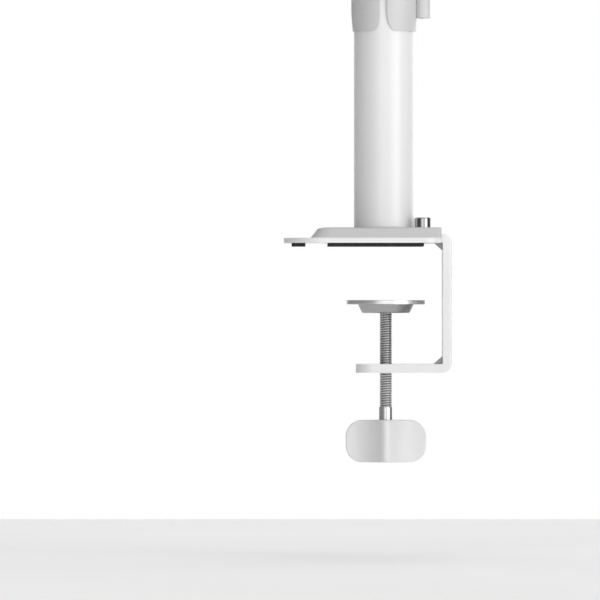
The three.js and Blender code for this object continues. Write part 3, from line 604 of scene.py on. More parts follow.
def base_body():
    """A casting whose sides slope in and then ease over a shoulder to the flat top."""
    b = Span("base_body")
    low, top = b.low.z, Span("post").low.z
    rim = low + BODY["slope_rise"]
    stations = [(0, low), (BODY["slope_run"], rim)]
    for step in range(1, SHOULDER_STEPS + 1):
        turn = SHOULDER_SWEEP * step / SHOULDER_STEPS
        inset = BODY["slope_run"] + BODY["shoulder"] * (1 - math.cos(turn)) / (1 - math.cos(SHOULDER_SWEEP))
        stations.append((inset, rim + (top - rim) * math.sin(turn) / math.sin(SHOULDER_SWEEP)))
    half = b.size.y / 2
    sections = []
    for inset, height in stations:
        corners = (BODY["front_corner"] - inset / 2, BODY["rear_corner"])
        outline = rounded((b.low.x + inset, b.high.x), (inset - half, half - inset), *corners, 14)
        sections.append((outline, height))
    pocket = bracket_room(low - 1, Span("clamp_bracket").high.z + GAP)
    body = cut(loft("body", sections), pocket, rod("z", BOLT_ROOM["radius"], low - 1, BOLT_ROOM["high"]))
    stand_for(soften(body, 0.3, 3), "base_body", finish=CAST_PAINT_SHADED, angle=30)


# ---- post and hub ----

POST_WALL = 2.5
SPINDLE = {"spigot": 16.2, "flange": 19, "flange_height": 3, "journal": 12}
WASHERS = {"hub_thrust_washer": (12.3, 21), "elbow_thrust_washer": (9.1, 20)}  # inner and outer radius


def post():
    b = Span("post")
    radius = b.size.x / 2
    shell = tube("post", radius - POST_WALL, radius, *b.height, edge=0.5, segments=160)
    stand_for(shell, "post", finish=POST_PAINT)


def post_spindle():
    b = Span("post_spindle")
    post_top = Span("post").high.z
    flange_top = post_top + SPINDLE["flange_height"]
    spigot, flange, journal = SPINDLE["spigot"], SPINDLE["flange"], SPINDLE["journal"]
    corners = [
        (0, b.low.z, 0), (spigot, b.low.z, 0.6), (spigot, post_top, 0.1), (flange, post_top, 0.4),
        (flange, flange_top, 0.5), (journal, flange_top, 0.3), (journal, b.high.z, 0.6), (0, b.high.z, 0),
    ]
    stand_for(revolve("spindle", fillet(corners, 4), segments=128), "post_spindle")


def washers():
    for name, (inner, outer) in WASHERS.items():
        b = Span(name)
        stand_for(tube(name, inner, outer, *b.height, b.upright, 0.4, segments=128), name)


# ---- desk clamp ----

GUSSET = {"length": 5.3, "height": 4.8, "root": 0.4, "offset": 12, "half": 2.4}


def bracket_inside():
    """The bracket's inner face, in X, and the heights of its upper and lower inner corner."""
    b = Span("clamp_bracket")
    return b.high.x - BRACKET["back"], b.high.z - BRACKET["tongue"], b.low.z + BRACKET["arm"]


def clamp_bracket():
    b = Span("clamp_bracket")
    back, tongue, arm = bracket_inside()
    front, bend, inside = BRACKET["front"], BRACKET["bend"], BRACKET["inside"]
    profile = fillet([
        (front, b.high.z, 0.2), (front, tongue, 0.2), (back, tongue, inside), (back, arm, inside),
        (b.low.x, arm, 0), (b.low.x, b.low.z, 0), (b.high.x, b.low.z, bend), (b.high.x, b.high.z, bend),
    ], 16)
    sheet = prism("bracket", profile, "y", b.low.y, b.high.y)
    corners = (BRACKET["front_corner"], BRACKET["rear_corner"])
    plan = prism("plan", rounded(*b.plan, *corners, 20), "z", b.low.z - 1, b.high.z + 1)
    hole = rod("z", BRACKET["screw_hole"], b.low.z - 1, arm + 1, (Span("clamp_screw").mid.x, 0))
    stand_for(soften(cut(overlap(sheet, plan), hole), 0.45, 3), "clamp_bracket", angle=30)


def bracket_gussets_painted_shade():
    """The corner ribs pressed into both bends inside the C, in dark steel: painted shade in the bends' inner
    corners.
    """
    back, tongue, arm = bracket_inside()
    tip, root, half = back - GUSSET["length"], GUSSET["root"], GUSSET["half"]
    ribs = []
    for corner, way in ((tongue, -1), (arm, 1)):
        sunk, rise = corner - root * way, corner + GUSSET["height"] * way
        outline = [(back + root, sunk), (tip, sunk), (tip, corner), (back, rise), (back + root, rise)]
        for middle in (-GUSSET["offset"], GUSSET["offset"]):
            ribs.append(prism("rib", outline, "y", middle - half, middle + half))
    gussets = soften(join(*ribs), 0.5, 2)
    stand_for(gussets, "clamp_bracket", finish=FINISH["dark_steel"], name="bracket_gussets_painted_shade")


SEAT_EDGE = 0.15
HEAD_ROUNDING = 0.18  # as a share of the head's radius


def socket_head(along, radius, seat, height, across=(0, 0), socket=2.9, depth=3.2):
    """A round screw head with a domed edge and a hexagon socket."""
    top = seat + height
    sign = 1 if height > 0 else -1
    low, high = sorted((seat, top))
    edges = (SEAT_EDGE, HEAD_ROUNDING * radius)[::sign]
    corners = [(0, low, 0), (radius, low, edges[0]), (radius, high, edges[1]), (0, high, 0)]
    head = revolve("head", fillet(corners, 6), along, across, 96)
    ends = sorted((top - sign * depth, top + sign))
    return cut(head, hexagon(along, socket, *ends, across))


def hexagon(along, radius, low, high, across=(0, 0)):
    return prism("hexagon", arc(across, radius, 0, 300, 5), along, low, high)


BOLT_SHANK = 3


def bracket_bolts():
    for name in ("bracket_bolt_near", "bracket_bolt_far"):
        b = Span(name)
        seat = Span("post").low.z
        bolt = socket_head("z", b.size.x / 2, seat, b.high.z - seat, b.upright)
        shank = rod("z", BOLT_SHANK, b.low.z, seat + 0.5, b.upright, 0.4)
        stand_for(soften(join(bolt, shank), 0.12, 2), name, finish=BOLT_CHROME_SHADED)


RIVET = {"shank": 1.5, "head": 4, "head_depth": 2, "hollow": 1.1, "hollow_depth": 0.5}
DISH = {"bottom": 15, "top": 17.5, "cup": 4.3}


def pressure_disc():
    b = Span("pressure_disc")
    radius, hole = b.size.x / 2, RIVET["shank"] + GAP
    corners = [
        (hole, b.low.z, 0.1), (radius, b.low.z, 0.3), (radius, b.high.z, 0.3),
        (RIVET["head"] + GAP, b.high.z, 0.1), (hole, b.high.z - RIVET["head_depth"] - GAP, 0.1),
    ]
    disc = revolve("disc", fillet(corners, 4), "z", b.upright, 160)
    # The disc's zinc is made lighter than the other plated parts: painted light on its edge.
    stand_for(disc, "pressure_disc", finish=turned_metal("disc_zinc_lightened", 0.80, 0.38, b.upright))


def pressure_dish():
    b = Span("pressure_dish")
    hole, cup = RIVET["shank"] + GAP, DISH["cup"]
    cup_top = Span("clamp_screw").high.z + GAP
    corners = [
        (hole, cup_top, 0), (cup, cup_top, 0.1), (cup, b.low.z, 0.3), (DISH["bottom"], b.low.z, 1.4),
        (DISH["top"], b.high.z, 0.25), (hole, b.high.z, 0),
    ]
    dish = revolve("dish", fillet(corners, 8), "z", b.upright, 160)
    # The dish's zinc is made darker than the other plated parts: painted shade under the disc.
    stand_for(dish, "pressure_dish", finish=turned_metal("dish_zinc_darkened", 0.48, 0.42, b.upright))


PITCH = 1.5
THREAD_DEPTH = 0.5
THREAD_FLANK = (0.138, 0.828)  # from the crest's edge to the root's, as shares of half a pitch
THREAD_SHADE_DEPTH = (0.55, 0.08)  # how far under the crest the groove is fully in painted shade, and how far under it the painted shade ends
THREAD_ROWS = 10
THREAD_COLUMNS = 60
SCREW_CHAMFER = 1.2
STUD = 3.2
STUD_HOLE = 3.3


def thread_radius(radius, turns):
    """The radius at a height given in turns of the helix: a flat crest, sloped flanks and a flat root."""
    from_crest = abs(turns % 1 - 0.5) * 2
    crest, root = THREAD_FLANK
    return radius - THREAD_DEPTH * min(1.0, max(0.0, (from_crest - crest) / (root - crest)))


def clamp_screw():
    b = Span("clamp_screw")
    radius = b.size.x / 2
    low, high = Span("screw_ferrule").high.z, b.high.z
    rows = int((high - low) / PITCH * THREAD_ROWS)
    sections = []
    for row in range(rows + 1):
        height = low + (high - low) * row / rows
        end = radius - SCREW_CHAMFER + high - height
        outline = []
        for column in range(THREAD_COLUMNS):
            share = column / THREAD_COLUMNS
            reach = min(end, thread_radius(radius, (height - low) / PITCH - share))
            turn = 2 * math.pi * share
            outline.append((b.mid.x + reach * math.cos(turn), reach * math.sin(turn)))
        sections.append((outline, height))
    centre = (b.mid.x, 0)
    stud = rod("z", STUD, b.low.z, low + 1, centre, 0.4)
    rivet_hole = rod("z", RIVET["shank"] + 0.1, Span("pad_rivet").low.z - 1, high + 1, centre, segments=24)
    shade_radii = [radius - under for under in THREAD_SHADE_DEPTH]
    # The thread's dark root colour, 0.14 against 0.78 on the crest, is painted shade in the groove.
    steel = threaded_metal("rolled_thread", 0.14, 0.78, shade_radii, 0.36, centre)
    stand_for(cut(join(loft("thread", sections), stud), rivet_hole), "clamp_screw", finish=steel, angle=60)


def screw_ferrule():
    b = Span("screw_ferrule")
    ferrule = tube("ferrule", STUD_HOLE, b.size.x / 2, *b.height, (b.mid.x, 0), 0.15, segments=128)
    stand_for(ferrule, "screw_ferrule", finish=FERRULE_NICKEL)


def pad_rivet():
    b = Span("pad_rivet")
    shank, hollow = RIVET["shank"], RIVET["hollow"]
    floor = b.high.z - RIVET["hollow_depth"]
    corners = [
        (0, b.low.z, 0), (shank, b.low.z, 0.2), (shank, b.high.z - RIVET["head_depth"], 0.1),
        (RIVET["head"], b.high.z, 0.15), (hollow + 0.3, b.high.z, 0.1), (hollow, floor, 0.1), (0, floor, 0),
    ]
    stand_for(revolve("rivet", fillet(corners, 3), "z", (b.mid.x, 0), 72), "pad_rivet")


KNOB_CORNER = 10.5
KNOB_TIP = 3.95
KNOB_BEND = 11.0
KNOB_SHOULDER = (4.0, 13.95)
KNOB_SKIN = 0.05  # how far the knob's faces lie inside the CAD's
KNOB_EDGE = 0.9
KNOB_RINGS = 30
KNOB_RING_SPREAD = 0.8
KNOB_RIM_STEP = 1.2
KNOB_HOLE_FLOOR = 10


def knob_depth(u, v, b):
    """Half the knob's thickness: a rounded ridge up the middle that sweeps out into two thin wings."""
    across, crest = abs(u), b.size.y / 2 - KNOB_SKIN
    shoulder_x, shoulder = KNOB_SHOULDER
    tip_x = b.size.x / 2 - KNOB_TIP
    if across < shoulder_x:
        depth = crest - (crest - shoulder) * (across / shoulder_x) ** 2
    else:
        run = tip_x - KNOB_BEND
        curve = tip_x - 2 * KNOB_BEND + shoulder_x
        place = (run - math.sqrt(run ** 2 - curve * max(0.0, tip_x - across))) / curve
        depth = KNOB_TIP + (shoulder - KNOB_TIP) * place ** 2
    past_x = max(0.0, across - b.size.x / 2 + KNOB_CORNER)
    past_z = max(0.0, abs(v) - b.size.z / 2 + KNOB_CORNER)
    margin = KNOB_CORNER - math.hypot(past_x, past_z)
    share = max(0.0, min(1.0, margin / KNOB_EDGE))
    return depth - KNOB_EDGE * (1 - math.sqrt(1 - (1 - share) ** 2))


def clamp_knob():
    """Rings of points from the middle of each face out to the rim, with the two rims joined."""
    b = Span("clamp_knob")
    rim = rounded((-b.size.x / 2, b.size.x / 2), (-b.size.z / 2, b.size.z / 2), KNOB_CORNER, steps=16)
    pairs = zip(rim, rim[1:] + rim[:1])
    rim = [point for first, second in pairs for point in divided(first, second, KNOB_RIM_STEP)]
    points, faces = [], []
    for side in (-1, 1):
        for ring in range(KNOB_RINGS + 1):
            share = math.sin(math.pi / 2 * ring / KNOB_RINGS) ** KNOB_RING_SPREAD
            for u, v in rim:
                depth = knob_depth(u * share, v * share, b)
                points.append((b.mid.x + u * share, side * depth, b.mid.z + v * share))
    count = len(rim)
    for side in (0, 1):
        for ring in range(KNOB_RINGS):
            start = (side * (KNOB_RINGS + 1) + ring) * count
            faces += band(start, start + count, count)
    faces += band(KNOB_RINGS * count, (2 * KNOB_RINGS + 1) * count, count)
    hole = rod("z", STUD_HOLE, b.low.z + KNOB_HOLE_FLOOR, b.high.z + 1, (b.mid.x, 0))
    stand_for(cut(make_mesh("knob", points, faces), hole), "clamp_knob", angle=60)


def divided(first, second, step):
    """The first point and evenly spaced ones on the way to the second, no further apart than step."""
    first, second = Vector(first), Vector(second)
    parts = max(1, math.ceil((second - first).length / step))
    return [tuple(first.lerp(second, i / parts)) for i in range(parts)]


# ---- cable collar ----

COLLAR = {"bore_gap": 0.15, "foot": 0.9, "taper": 10.7}
COLLAR_SLOT = (-3.0, 1.8)
COLLAR_CORNERS = {"front": (5, 10), "rear": (6.5, 14)}  # width and height of each shell's cut-away corner
CURVE_STEPS = 16
LUG = {"low": 160, "high": 174, "reach": 28.5, "thickness": 3, "hole": 1.8, "hole_inset": 3.4}
COLLAR_SHANK = 1.5
HOOK = {"front": 19.8, "half": 6.6, "wall": 1.6, "low": 143.8, "corner": 4.59, "mouth": 2.3}


def corner_curve(edge, way, low, width, height):
    """The rounded corner where a shell's edge at the slot turns into its foot, as an outline to cut away."""
    shares = [step / CURVE_STEPS for step in range(CURVE_STEPS + 1)]
    curve = [(edge + way * width * (1 - t) ** 2, low + height * t ** 2) for t in shares]
    away = edge - way * 2
    return [(away, low + height), (away, low - 1), (edge + way * width, low - 1)] + curve


def collar_shell(name, edge, way, corner, extra=()):
    """One half of the collar, from its edge at the slot. Way is -1 for the front half and 1 for the rear."""
    b = Span("collar_front_shell")
    inner = Span("post").size.x / 2 + COLLAR["bore_gap"]
    outer = -b.low.x
    low, high = b.low.z, b.high.z
    barrel = [(0, low, 0), (outer - COLLAR["foot"], low, 0.3), (outer, low + COLLAR["taper"], 12),
              (outer, high, 0.3), (0, high, 0)]
    shell = revolve("collar", fillet(barrel, 6), segments=192)
    reach = LUG["reach"]
    lug_x = sorted((edge, edge + way * LUG["thickness"]))
    lugs = block(lug_x, (-reach, reach), (LUG["low"], LUG["high"]))
    shell = join(shell, soften(lugs, 0.8, 3), *extra)
    beyond = 2 * reach
    kept = block(sorted((edge, edge + way * beyond)), (-beyond, beyond), (low - 1, high + 1))
    bore = rod("z", inner, low - 1, high + 1, segments=192)
    nick = prism("nick", corner_curve(edge, way, low, *corner), "y", -outer - 2, outer + 2)
    through = (lug_x[0] - 1, lug_x[1] + 1)
    middle, side = (LUG["low"] + LUG["high"]) / 2, reach - LUG["hole_inset"]
    holes = [rod("x", LUG["hole"], *through, (y, middle), segments=32) for y in (-side, side)]
    stand_for(soften(cut(overlap(shell, kept), bore, nick, *holes), 0.22, 3, 40), name)


def cable_hook():
    """An open rolled hook behind the rear shell, cut to the shell's round back."""
    b = Span("collar_rear_shell")
    outer = -Span("collar_front_shell").low.x
    wall, half, corner, mouth = HOOK["wall"], HOOK["half"], HOOK["corner"], HOOK["mouth"]
    front, back, low, high = HOOK["front"], b.high.x, HOOK["low"], b.high.z
    outside = rounded((front, back), (-half, half), corner, steps=20)
    inside = rounded((front + wall, back - wall), (wall - half, half - wall), corner - wall, steps=16)
    loop = soften(prism("hook", outside, "z", low, high), 0.35, 3)
    room = prism("room", inside, "z", low - 1, high + 1)
    room = cut(room, rod("z", outer, low - 2, high + 2, segments=192))
    return cut(loop, room, block((back - 2 * wall, back + 1), (-mouth, mouth), (low - 1, high + 1)))


def collar_screws():
    for name in ("collar_screw_near", "collar_screw_far"):
        b = Span(name)
        seat = COLLAR_SLOT[1] + LUG["thickness"]
        across = (b.mid.y, b.mid.z)
        head = socket_head("x", b.size.z / 2, seat, b.high.x - seat, across, 1.5, 1.5)
        shank = rod("x", COLLAR_SHANK, b.low.x, seat + 0.5, across, 0.3, 40)
        stand_for(soften(join(head, shank), 0.08, 2), name)


def cable_collar():
    collar_shell("collar_front_shell", COLLAR_SLOT[0], -1, COLLAR_CORNERS["front"])
    collar_shell("collar_rear_shell", COLLAR_SLOT[1], 1, COLLAR_CORNERS["rear"], [cable_hook()])
    collar_screws()


# ---- lower arm ----

ELBOW_X = PIVOT["elbow_turn"][0]
HUB = {"radius": 23.5, "bore": 14}
BOSS = {"radius": 22, "high": 236, "bore": 11}
BEAM = {"low": 200, "high": 232, "half": 15, "trough": 11, "trough_top": 222}


def arm_cover(name):
    """The flat cover under an arm."""
    b = Span(name)
    stand_for(soften(prism("cover", rounded(*b.plan, 2), "z", *b.height), 0.6, 3), name)


def lower_arm():
    b = Span("lower_arm")
    low, high = b.low.z, b.high.z
    hub = rod("z", HUB["radius"], low, high, (0, 0), 1.6, 160)
    boss = rod("z", BOSS["radius"], low, BOSS["high"], (ELBOW_X, 0), 1.6, 160)
    half = BEAM["half"]
    section = fillet([(-half, BEAM["low"], 1.5), (half, BEAM["low"], 1.5), (half, BEAM["high"], 8),
                      (-half, BEAM["high"], 8)], 12)
    beam = prism("beam", section, "x", ELBOW_X, 0)
    trough = block((ELBOW_X + BOSS["radius"] + 1, -HUB["radius"] - 1), (-BEAM["trough"], BEAM["trough"]),
                   (BEAM["low"] - 1, BEAM["trough_top"]))
    hub_bore = rod("z", HUB["bore"], low - 1, high + 1, segments=96)
    elbow_bore = rod("z", BOSS["bore"], low - 1, high, (ELBOW_X, 0), segments=96)
    casting = soften(cut(join(hub, beam, boss), trough, hub_bore, elbow_bore), 0.7, 3, 35)
    stand_for(casting, "lower_arm")
    arm_cover("lower_arm_cover")


def hub_cap():
    b = Span("hub_cap")
    low, r = b.low.z, b.size.x / 2
    corners = [
        (r - 2, low, 0.2), (r, low, 0.3), (r, low + 10, 4), (r - 4, low + 14.6, 3), (0, b.high.z, 0),
        (0, b.high.z - 2.5, 0), (r - 9, low + 13.9, 1), (r - 4.5, low + 11.7, 2), (r - 2, low + 8.7, 2),
    ]
    stand_for(revolve("cap", fillet(corners, 10), "z", b.upright, 160), "hub_cap")


def elbow_bottom_cap():
    b = Span("elbow_bottom_cap")
    low, r = b.low.z, b.size.x / 2
    corners = [
        (0, low, 0), (r - 2.8, low, 3), (r, low + 3, 3), (r, b.high.z, 0.2), (r - 2.2, b.high.z, 0.2),
        (r - 2.2, low + 2, 0.5), (0, low + 2, 0),
    ]
    stand_for(revolve("cap", fillet(corners, 10), "z", b.upright, 160), "elbow_bottom_cap")


# ---- elbow ----

CHEEK = {"inner": 6, "outer": 11, "radius": 12, "slot": 258}
PIVOT_Z = PIVOT["arm_pitch"][2]
LINK_Z = PIVOT["link_turn"][2]
LINK_BOSS = (3.5, 15.4)
PIN_HOLE = 4.3
STRUT_PIN_HOLE = 2.6
STRUT_FRONT, STRUT_REAR = Span("strut_front_pin").mid, Span("strut_rear_pin").mid
ELBOW = {"disc": 8, "spindle": 8.8, "stud": 5, "stud_length": 8.5, "foot": 16}


def tangent_turn(point, radius):
    """The angle, in degrees, at which a line from the point touches a circle round the origin."""
    return math.degrees(math.atan2(point[1], point[0]) + math.acos(radius / math.hypot(*point)))


def elbow_knuckle():
    b = Span("elbow_knuckle")
    disc_low = Span("elbow_thrust_washer").high.z + 0.1
    disc_high = disc_low + ELBOW["disc"]
    centre = (ELBOW_X, 0)
    radius, outer, inner = CHEEK["radius"], CHEEK["outer"], CHEEK["inner"]
    disc = rod("z", BOSS["radius"], disc_low, disc_high, centre, 1.2, 160)
    step = b.low.z + ELBOW["stud_length"]
    spindle = rod("z", ELBOW["spindle"], step, disc_low + 1, centre)
    stud = rod("z", ELBOW["stud"], b.low.z, step + 0.5, centre, 0.5)
    foot = (ELBOW["foot"], disc_high - 1 - PIVOT_Z)
    start = tangent_turn(foot, radius)
    neck = [(ELBOW_X - foot[0], disc_high - 1), (ELBOW_X + foot[0], disc_high - 1)]
    neck += arc((ELBOW_X, PIVOT_Z), radius, start, 180 - start, 40)
    upright = soften(prism("neck", neck, "y", -outer, outer), 0.9, 3)
    boss = rod("y", LINK_BOSS[0], -LINK_BOSS[1], LINK_BOSS[1], (ELBOW_X, LINK_Z), 0.4)
    slot = block((ELBOW_X - 2 * radius, ELBOW_X + 2 * radius), (-inner, inner),
                 (CHEEK["slot"], PIVOT_Z + 2 * radius))
    pin = rod("y", PIN_HOLE, -outer - 1, outer + 1, (ELBOW_X, PIVOT_Z))
    strut_pin = rod("y", STRUT_PIN_HOLE, -outer - 1, outer - 1, (STRUT_REAR.x, STRUT_REAR.z))
    knuckle = cut(join(disc, spindle, stud, upright, boss), slot, pin, strut_pin)
    stand_for(soften(knuckle, 0.35, 3, 40), "elbow_knuckle")


# ---- gas-spring arm ----

CHANNEL = {"radius": 22, "half": 19, "wall": 2.5, "pin_hole": 4.1}
FRONT_X = PIVOT["level_turn"][0]


def spring_arm():
    radius, half, wall = CHANNEL["radius"], CHANNEL["half"], CHANNEL["wall"]
    ends = (FRONT_X, ELBOW_X)
    inside = half - wall
    outer = soften(prism("channel", capsule(ends, PIVOT_Z, radius, 60), "y", -half, half), 2.2, 5)
    hollow = soften(prism("hollow", capsule(ends, PIVOT_Z, radius - wall, 60), "y", -inside, inside), 1.2, 3)
    below = block((ends[0] - radius - 1, ends[1] + radius + 1), (-inside, inside),
                  (PIVOT_Z - radius - 1, PIVOT_Z))
    through = (-half - 1, half + 1)
    holes = [rod("y", CHANNEL["pin_hole"], *through, (x, PIVOT_Z)) for x in ends]
    holes.append(rod("y", STRUT_PIN_HOLE, *through, (STRUT_FRONT.x, STRUT_FRONT.z)))
    stand_for(soften(cut(outer, hollow, below, *holes), 0.35, 2, 45), "spring_arm_channel")
    arm_cover("spring_arm_cover")


PIVOT_CAP = {"rounding": 0.9, "dimple": 4.5, "dimple_depth": 0.9}


def pivot_caps():
    dimple, deep = PIVOT_CAP["dimple"], PIVOT_CAP["dimple_depth"]
    for end in ("rear", "front"):
        for side in ("near", "far"):
            name = f"{end}_pivot_cap_{side}"
            b = Span(name)
            r, depth = b.size.x / 2, b.size.y
            way = -1 if side == "near" else 1
            seat = b.high.y if side == "near" else b.low.y
            corners = [
                (0, 0, 0), (r, 0, 0.2), (r - 0.5, depth, PIVOT_CAP["rounding"]), (dimple, depth, 0.4),
                (dimple - 0.6, depth - deep + 0.2, 0.3), (0, depth - deep, 0),
            ]
            profile = [(radius, seat + way * height) for radius, height in fillet(corners, 6)]
            stand_for(revolve("cap", profile, "y", (b.mid.x, b.mid.z), 128), name)


def on_strut(piece):
    """Lays a piece built along x from the front pin onto the strut's line."""
    line = STRUT_REAR - STRUT_FRONT
    slope = math.atan2(-line.z, line.x)
    piece.data.transform(Matrix.Translation(STRUT_FRONT * MM) @ Matrix.Rotation(slope, 4, "Y"))
    return piece


STRUT = {"radius": 7.5, "start": 7, "end": 94, "neck": 4, "bore": 3.8, "bore_end": 24}
STRUT_EYE = {"hole": 2.8, "radius": 5.5, "half": 4}
STRUT_BAR = {"radius": 3.5, "start": 45, "end_inset": 6.7}
STRUT_RING = {"hole": 6.1, "radius": 8.2, "lift": 3.1}


def gas_strut():
    length = (STRUT_REAR - STRUT_FRONT).length
    radius, start, end, neck, bore, bore_end = STRUT.values()
    body = [
        (neck, 2, 0), (neck, start, 0.1), (radius - 2, start, 0.4), (radius, start + 2.5, 1),
        (radius, end, 1.2), (bore, end + 0.8, 0.2), (bore, bore_end, 0.1), (0, bore_end, 0), (0, 2, 0),
    ]
    cylinder = revolve("strut", fillet(body, 5), "x", (0, 0), 128)
    hole, half = STRUT_EYE["hole"], STRUT_EYE["half"]
    eye = tube("eye", hole, STRUT_EYE["radius"], -half, half, (0, 0), 0.4, "y", 72)
    pin_room = rod("y", hole, -half - 1, half + 1)
    stand_for(on_strut(cut(join(cylinder, eye), pin_room)), "gas_cylinder")
    middle = (length, STRUT_RING["lift"])
    bar = rod("x", STRUT_BAR["radius"], STRUT_BAR["start"], length - STRUT_BAR["end_inset"], (0, 0), 0.3, 96)
    ring = rod("y", STRUT_RING["radius"], -half, half, middle, 0.6, 96)
    room = rod("y", STRUT_RING["hole"], -half - 1, half + 1, middle, segments=96)
    stand_for(on_strut(soften(cut(join(bar, ring), room), 0.25, 2)), "gas_rod")


def strut_front_pin():
    b = Span("strut_front_pin")
    stand_for(rod("y", b.size.x / 2, b.low.y, b.high.y, (b.mid.x, b.mid.z), 0.4), "strut_front_pin")


LINK_BAR_HALF = 4


def tie_links():
    ends = (FRONT_X, ELBOW_X)
    for name in ("tie_link_near", "tie_link_far"):
        b = Span(name)
        y = (b.low.y, b.high.y)
        bar = block(ends, y, (LINK_Z - LINK_BAR_HALF, LINK_Z + LINK_BAR_HALF))
        eyes = [rod("y", b.size.z / 2, *y, (x, LINK_Z)) for x in ends]
        holes = [rod("y", LINK_BOSS[0] + GAP, y[0] - 1, y[1] + 1, (x, LINK_Z)) for x in ends]
        stand_for(soften(cut(join(bar, *eyes), *holes), 0.4, 2), name)


# ---- head ----

SWIVEL_X, SWIVEL_Z = PIVOT["head_swivel"][0], PIVOT["head_swivel"][2]
TILT_X = PIVOT["head_tilt"][0]
SWIVEL = {"boss": 15, "half": 14, "pin": 5, "bush": 1.4}
EAR = {"inner": 12, "outer": 17, "radius": 10, "bolt_hole": 4.1}
WEB = {"half": 10, "underside": 24, "foot": 33, "corner": 5}
TILT = {"shank": 4, "neck": 11, "rotor_hole": 8.3, "rotor_room": 5.3, "grub_hole": 2.1}


def front_knuckle():
    radius, outer, inner = CHEEK["radius"], CHEEK["outer"], CHEEK["inner"]
    x, z = FRONT_X, PIVOT_Z
    left, right, corner = x - WEB["half"], x + WEB["half"], WEB["corner"]
    underside, foot = z - WEB["underside"], z - WEB["foot"]
    web = arc((x, z), radius, 35, 145, 30)
    web += fillet([(left, z - 4, 0), (left, underside, corner), (SWIVEL_X, underside, 0),
                   (SWIVEL_X, foot, 0), (right, foot, corner), (right, z - 4, 0)], 8)
    body = soften(prism("web", web, "y", -outer, outer), 0.9, 3)
    bearing = rod("y", radius, -outer, outer, (x, z), 0.9, 96)
    half, axis = SWIVEL["half"], (SWIVEL_X, 0)
    boss = rod("z", SWIVEL["boss"], SWIVEL_Z - half, SWIVEL_Z + half, axis, 1, 144)
    link_boss = rod("y", LINK_BOSS[0], -LINK_BOSS[1], LINK_BOSS[1], (x, LINK_Z), 0.4)
    pin = rod("y", PIN_HOLE, -outer - 1, outer + 1, (x, z))
    hole = SWIVEL["pin"] + SWIVEL["bush"]
    bore = rod("z", hole, SWIVEL_Z - half - 1, SWIVEL_Z + half + 1, axis)
    notch = block((x + radius - inner, x + radius + 1), (-inner, inner), (z - 20, z + radius + 1))
    knuckle = cut(join(body, bearing, boss, link_boss), pin, bore, notch)
    stand_for(soften(knuckle, 0.35, 3, 40), "front_knuckle")


def head_yoke():
    b = Span("head_yoke")
    half, boss = SWIVEL["half"] + GAP, SWIVEL["boss"]
    inner, outer, radius = EAR["inner"], EAR["outer"], EAR["radius"]
    wall = (SWIVEL_X - boss - 11, SWIVEL_X - boss - 1)
    back = soften(block(wall, (-outer, outer), (b.low.z, b.high.z)), 1.5, 4)
    extra = []
    ear = capsule((TILT_X, wall[1] - radius), SWIVEL_Z, radius, 40)
    for low, high in ((-outer, -inner), (inner, outer)):
        extra.append(soften(prism("ear", ear, "y", low, high), 0.8, 3))
    for low, high in ((b.low.z, SWIVEL_Z - half), (SWIVEL_Z + half, b.high.z)):
        extra.append(soften(prism("plate", plate_plan(wall[1] - 2, boss - 2), "z", low, high), 0.8, 3))
    room = block((TILT_X - 2 * radius, wall[0]), (-inner, inner), (b.low.z - 1, b.high.z + 1))
    pin = rod("z", SWIVEL["pin"] + 0.1, b.low.z - 1, b.high.z + 1, (SWIVEL_X, 0))
    bolt = rod("y", EAR["bolt_hole"], -outer - 1, outer + 1, (TILT_X, SWIVEL_Z))
    stand_for(soften(cut(join(back, *extra), room, pin, bolt), 0.3, 2, 40), "head_yoke")


def plate_plan(back, half):
    """A plate with a straight back and a round end about the swivel axis."""
    return [(back, half), (back, -half)] + arc((SWIVEL_X, 0), half, -90, 90, 40)


def swivel_pin():
    b = Span("swivel_pin")
    stand_for(rod("z", b.size.x / 2, b.low.z, b.high.z, (b.mid.x, 0), 0.6, 96), "swivel_pin")


def tilt_bolt_and_nut():
    b = Span("tilt_bolt")
    across = (TILT_X, SWIVEL_Z)
    seat = -EAR["outer"]
    head = socket_head("y", b.size.x / 2, seat, b.low.y - seat, across)
    shank = rod("y", TILT["shank"], seat - 0.5, b.high.y, across, 0.6)
    stand_for(soften(join(head, shank), 0.12, 2), "tilt_bolt")
    nut = Span("tilt_nut")
    radius = nut.size.x / 2
    low, high = nut.low.y, nut.high.y
    chamfers = [(0, low), (radius * 0.9, low), (radius + 0.1, low + 0.9), (radius + 0.1, high - 0.9),
                (radius * 0.9, high), (0, high)]
    body = overlap(hexagon("y", radius, low, high, across), revolve("trim", chamfers, "y", across, 96))
    hole = rod("y", EAR["bolt_hole"], low - 1, high + 1, across)
    stand_for(soften(cut(body, hole), 0.12, 2), "tilt_nut")


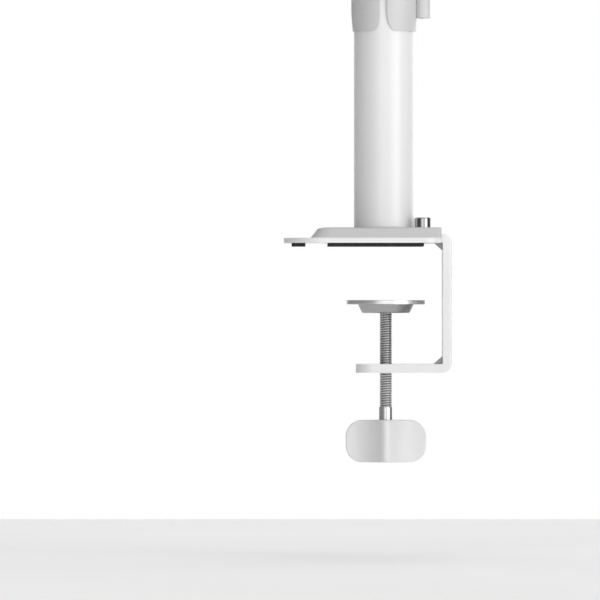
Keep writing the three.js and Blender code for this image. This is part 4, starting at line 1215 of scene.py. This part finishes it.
def tilt_block():
    b = Span("tilt_block")
    half = b.size.y / 2
    reach, radius = EAR["inner"] - GAP, TILT["neck"]
    barrel = rod("y", radius, -reach, reach, (TILT_X, SWIVEL_Z), 0.9, 128)
    shoulder = TILT_X - radius - 0.5
    neck = rod("x", radius, shoulder - 1, TILT_X, (0, SWIVEL_Z), 0, 128)
    collar = rod("x", half, b.low.x, shoulder, (0, SWIVEL_Z), 1.2, 128)
    rotor_end = TILT_X - TILT["rotor_room"]
    rotor_bore = rod("x", TILT["rotor_hole"], b.low.x - 1, rotor_end, (0, SWIVEL_Z), segments=96)
    bolt_bore = rod("y", PIN_HOLE, -reach - 1, reach + 1, (TILT_X, SWIVEL_Z))
    grub = Span("turn_grub_screw")
    grub_hole = rod("z", TILT["grub_hole"], SWIVEL_Z, SWIVEL_Z + half + 1, (grub.mid.x, 0), segments=40)
    blocked = cut(join(barrel, neck, collar), rotor_bore, bolt_bore, grub_hole)
    stand_for(soften(blocked, 0.35, 3, 40), "tilt_block")


def turn_grub_screw():
    b = Span("turn_grub_screw")
    body = cut(rod("z", b.size.x / 2, *b.height, b.upright, 0.25, 48),
               hexagon("z", 1.1, b.high.z - 2, b.high.z + 1, b.upright))
    stand_for(body, "turn_grub_screw")


ROTOR = {"neck": 8, "flange": 2.7}
SCREEN_PLATE = {"corner": 8, "hole": 2.6}
HOLE_PATTERNS = (37.5, 50)  # half the sides of the 75 mm and 100 mm squares


def screen_mount():
    b = Span("screen_rotor")
    back = b.low.x + ROTOR["flange"]
    neck = rod("x", ROTOR["neck"], back - 1, b.high.x, (0, SWIVEL_Z), 0.6, 96)
    flange = rod("x", b.size.y / 2, b.low.x, back, (0, SWIVEL_Z), 0.6, 160)
    stand_for(join(flange, neck), "screen_rotor")
    b = Span("screen_plate")
    square = rounded((b.low.y, b.high.y), (b.low.z, b.high.z), SCREEN_PLATE["corner"], steps=14)
    plate = prism("plate", square, "x", b.low.x, b.high.x)
    through = (b.low.x - 1, b.high.x + 1)
    holes = [rod("x", SCREEN_PLATE["hole"], *through, (y, SWIVEL_Z + z), segments=40)
             for offset in HOLE_PATTERNS for y in (-offset, offset) for z in (-offset, offset)]
    stand_for(soften(cut(plate, *holes), 0.4, 3), "screen_plate")


# ---- the scene ----

make_camera()
make_floor()
make_studio()

for build in (
    foam_pads, base_plate, base_body, post, post_spindle, washers, clamp_bracket, bracket_gussets_painted_shade,
    bracket_bolts, pressure_disc, pressure_dish, clamp_screw, screw_ferrule, pad_rivet, clamp_knob,
    cable_collar, lower_arm, hub_cap, elbow_bottom_cap, elbow_knuckle, spring_arm, pivot_caps,
    gas_strut, strut_front_pin, tie_links, front_knuckle, head_yoke, swivel_pin, tilt_bolt_and_nut,
    tilt_block, turn_grub_screw, screen_mount,
):
    build()

for name, part in frame["nodes"].items():
    part.data.materials.clear()
    part.data.materials.append(FINISH[SLOT_OF[name]])
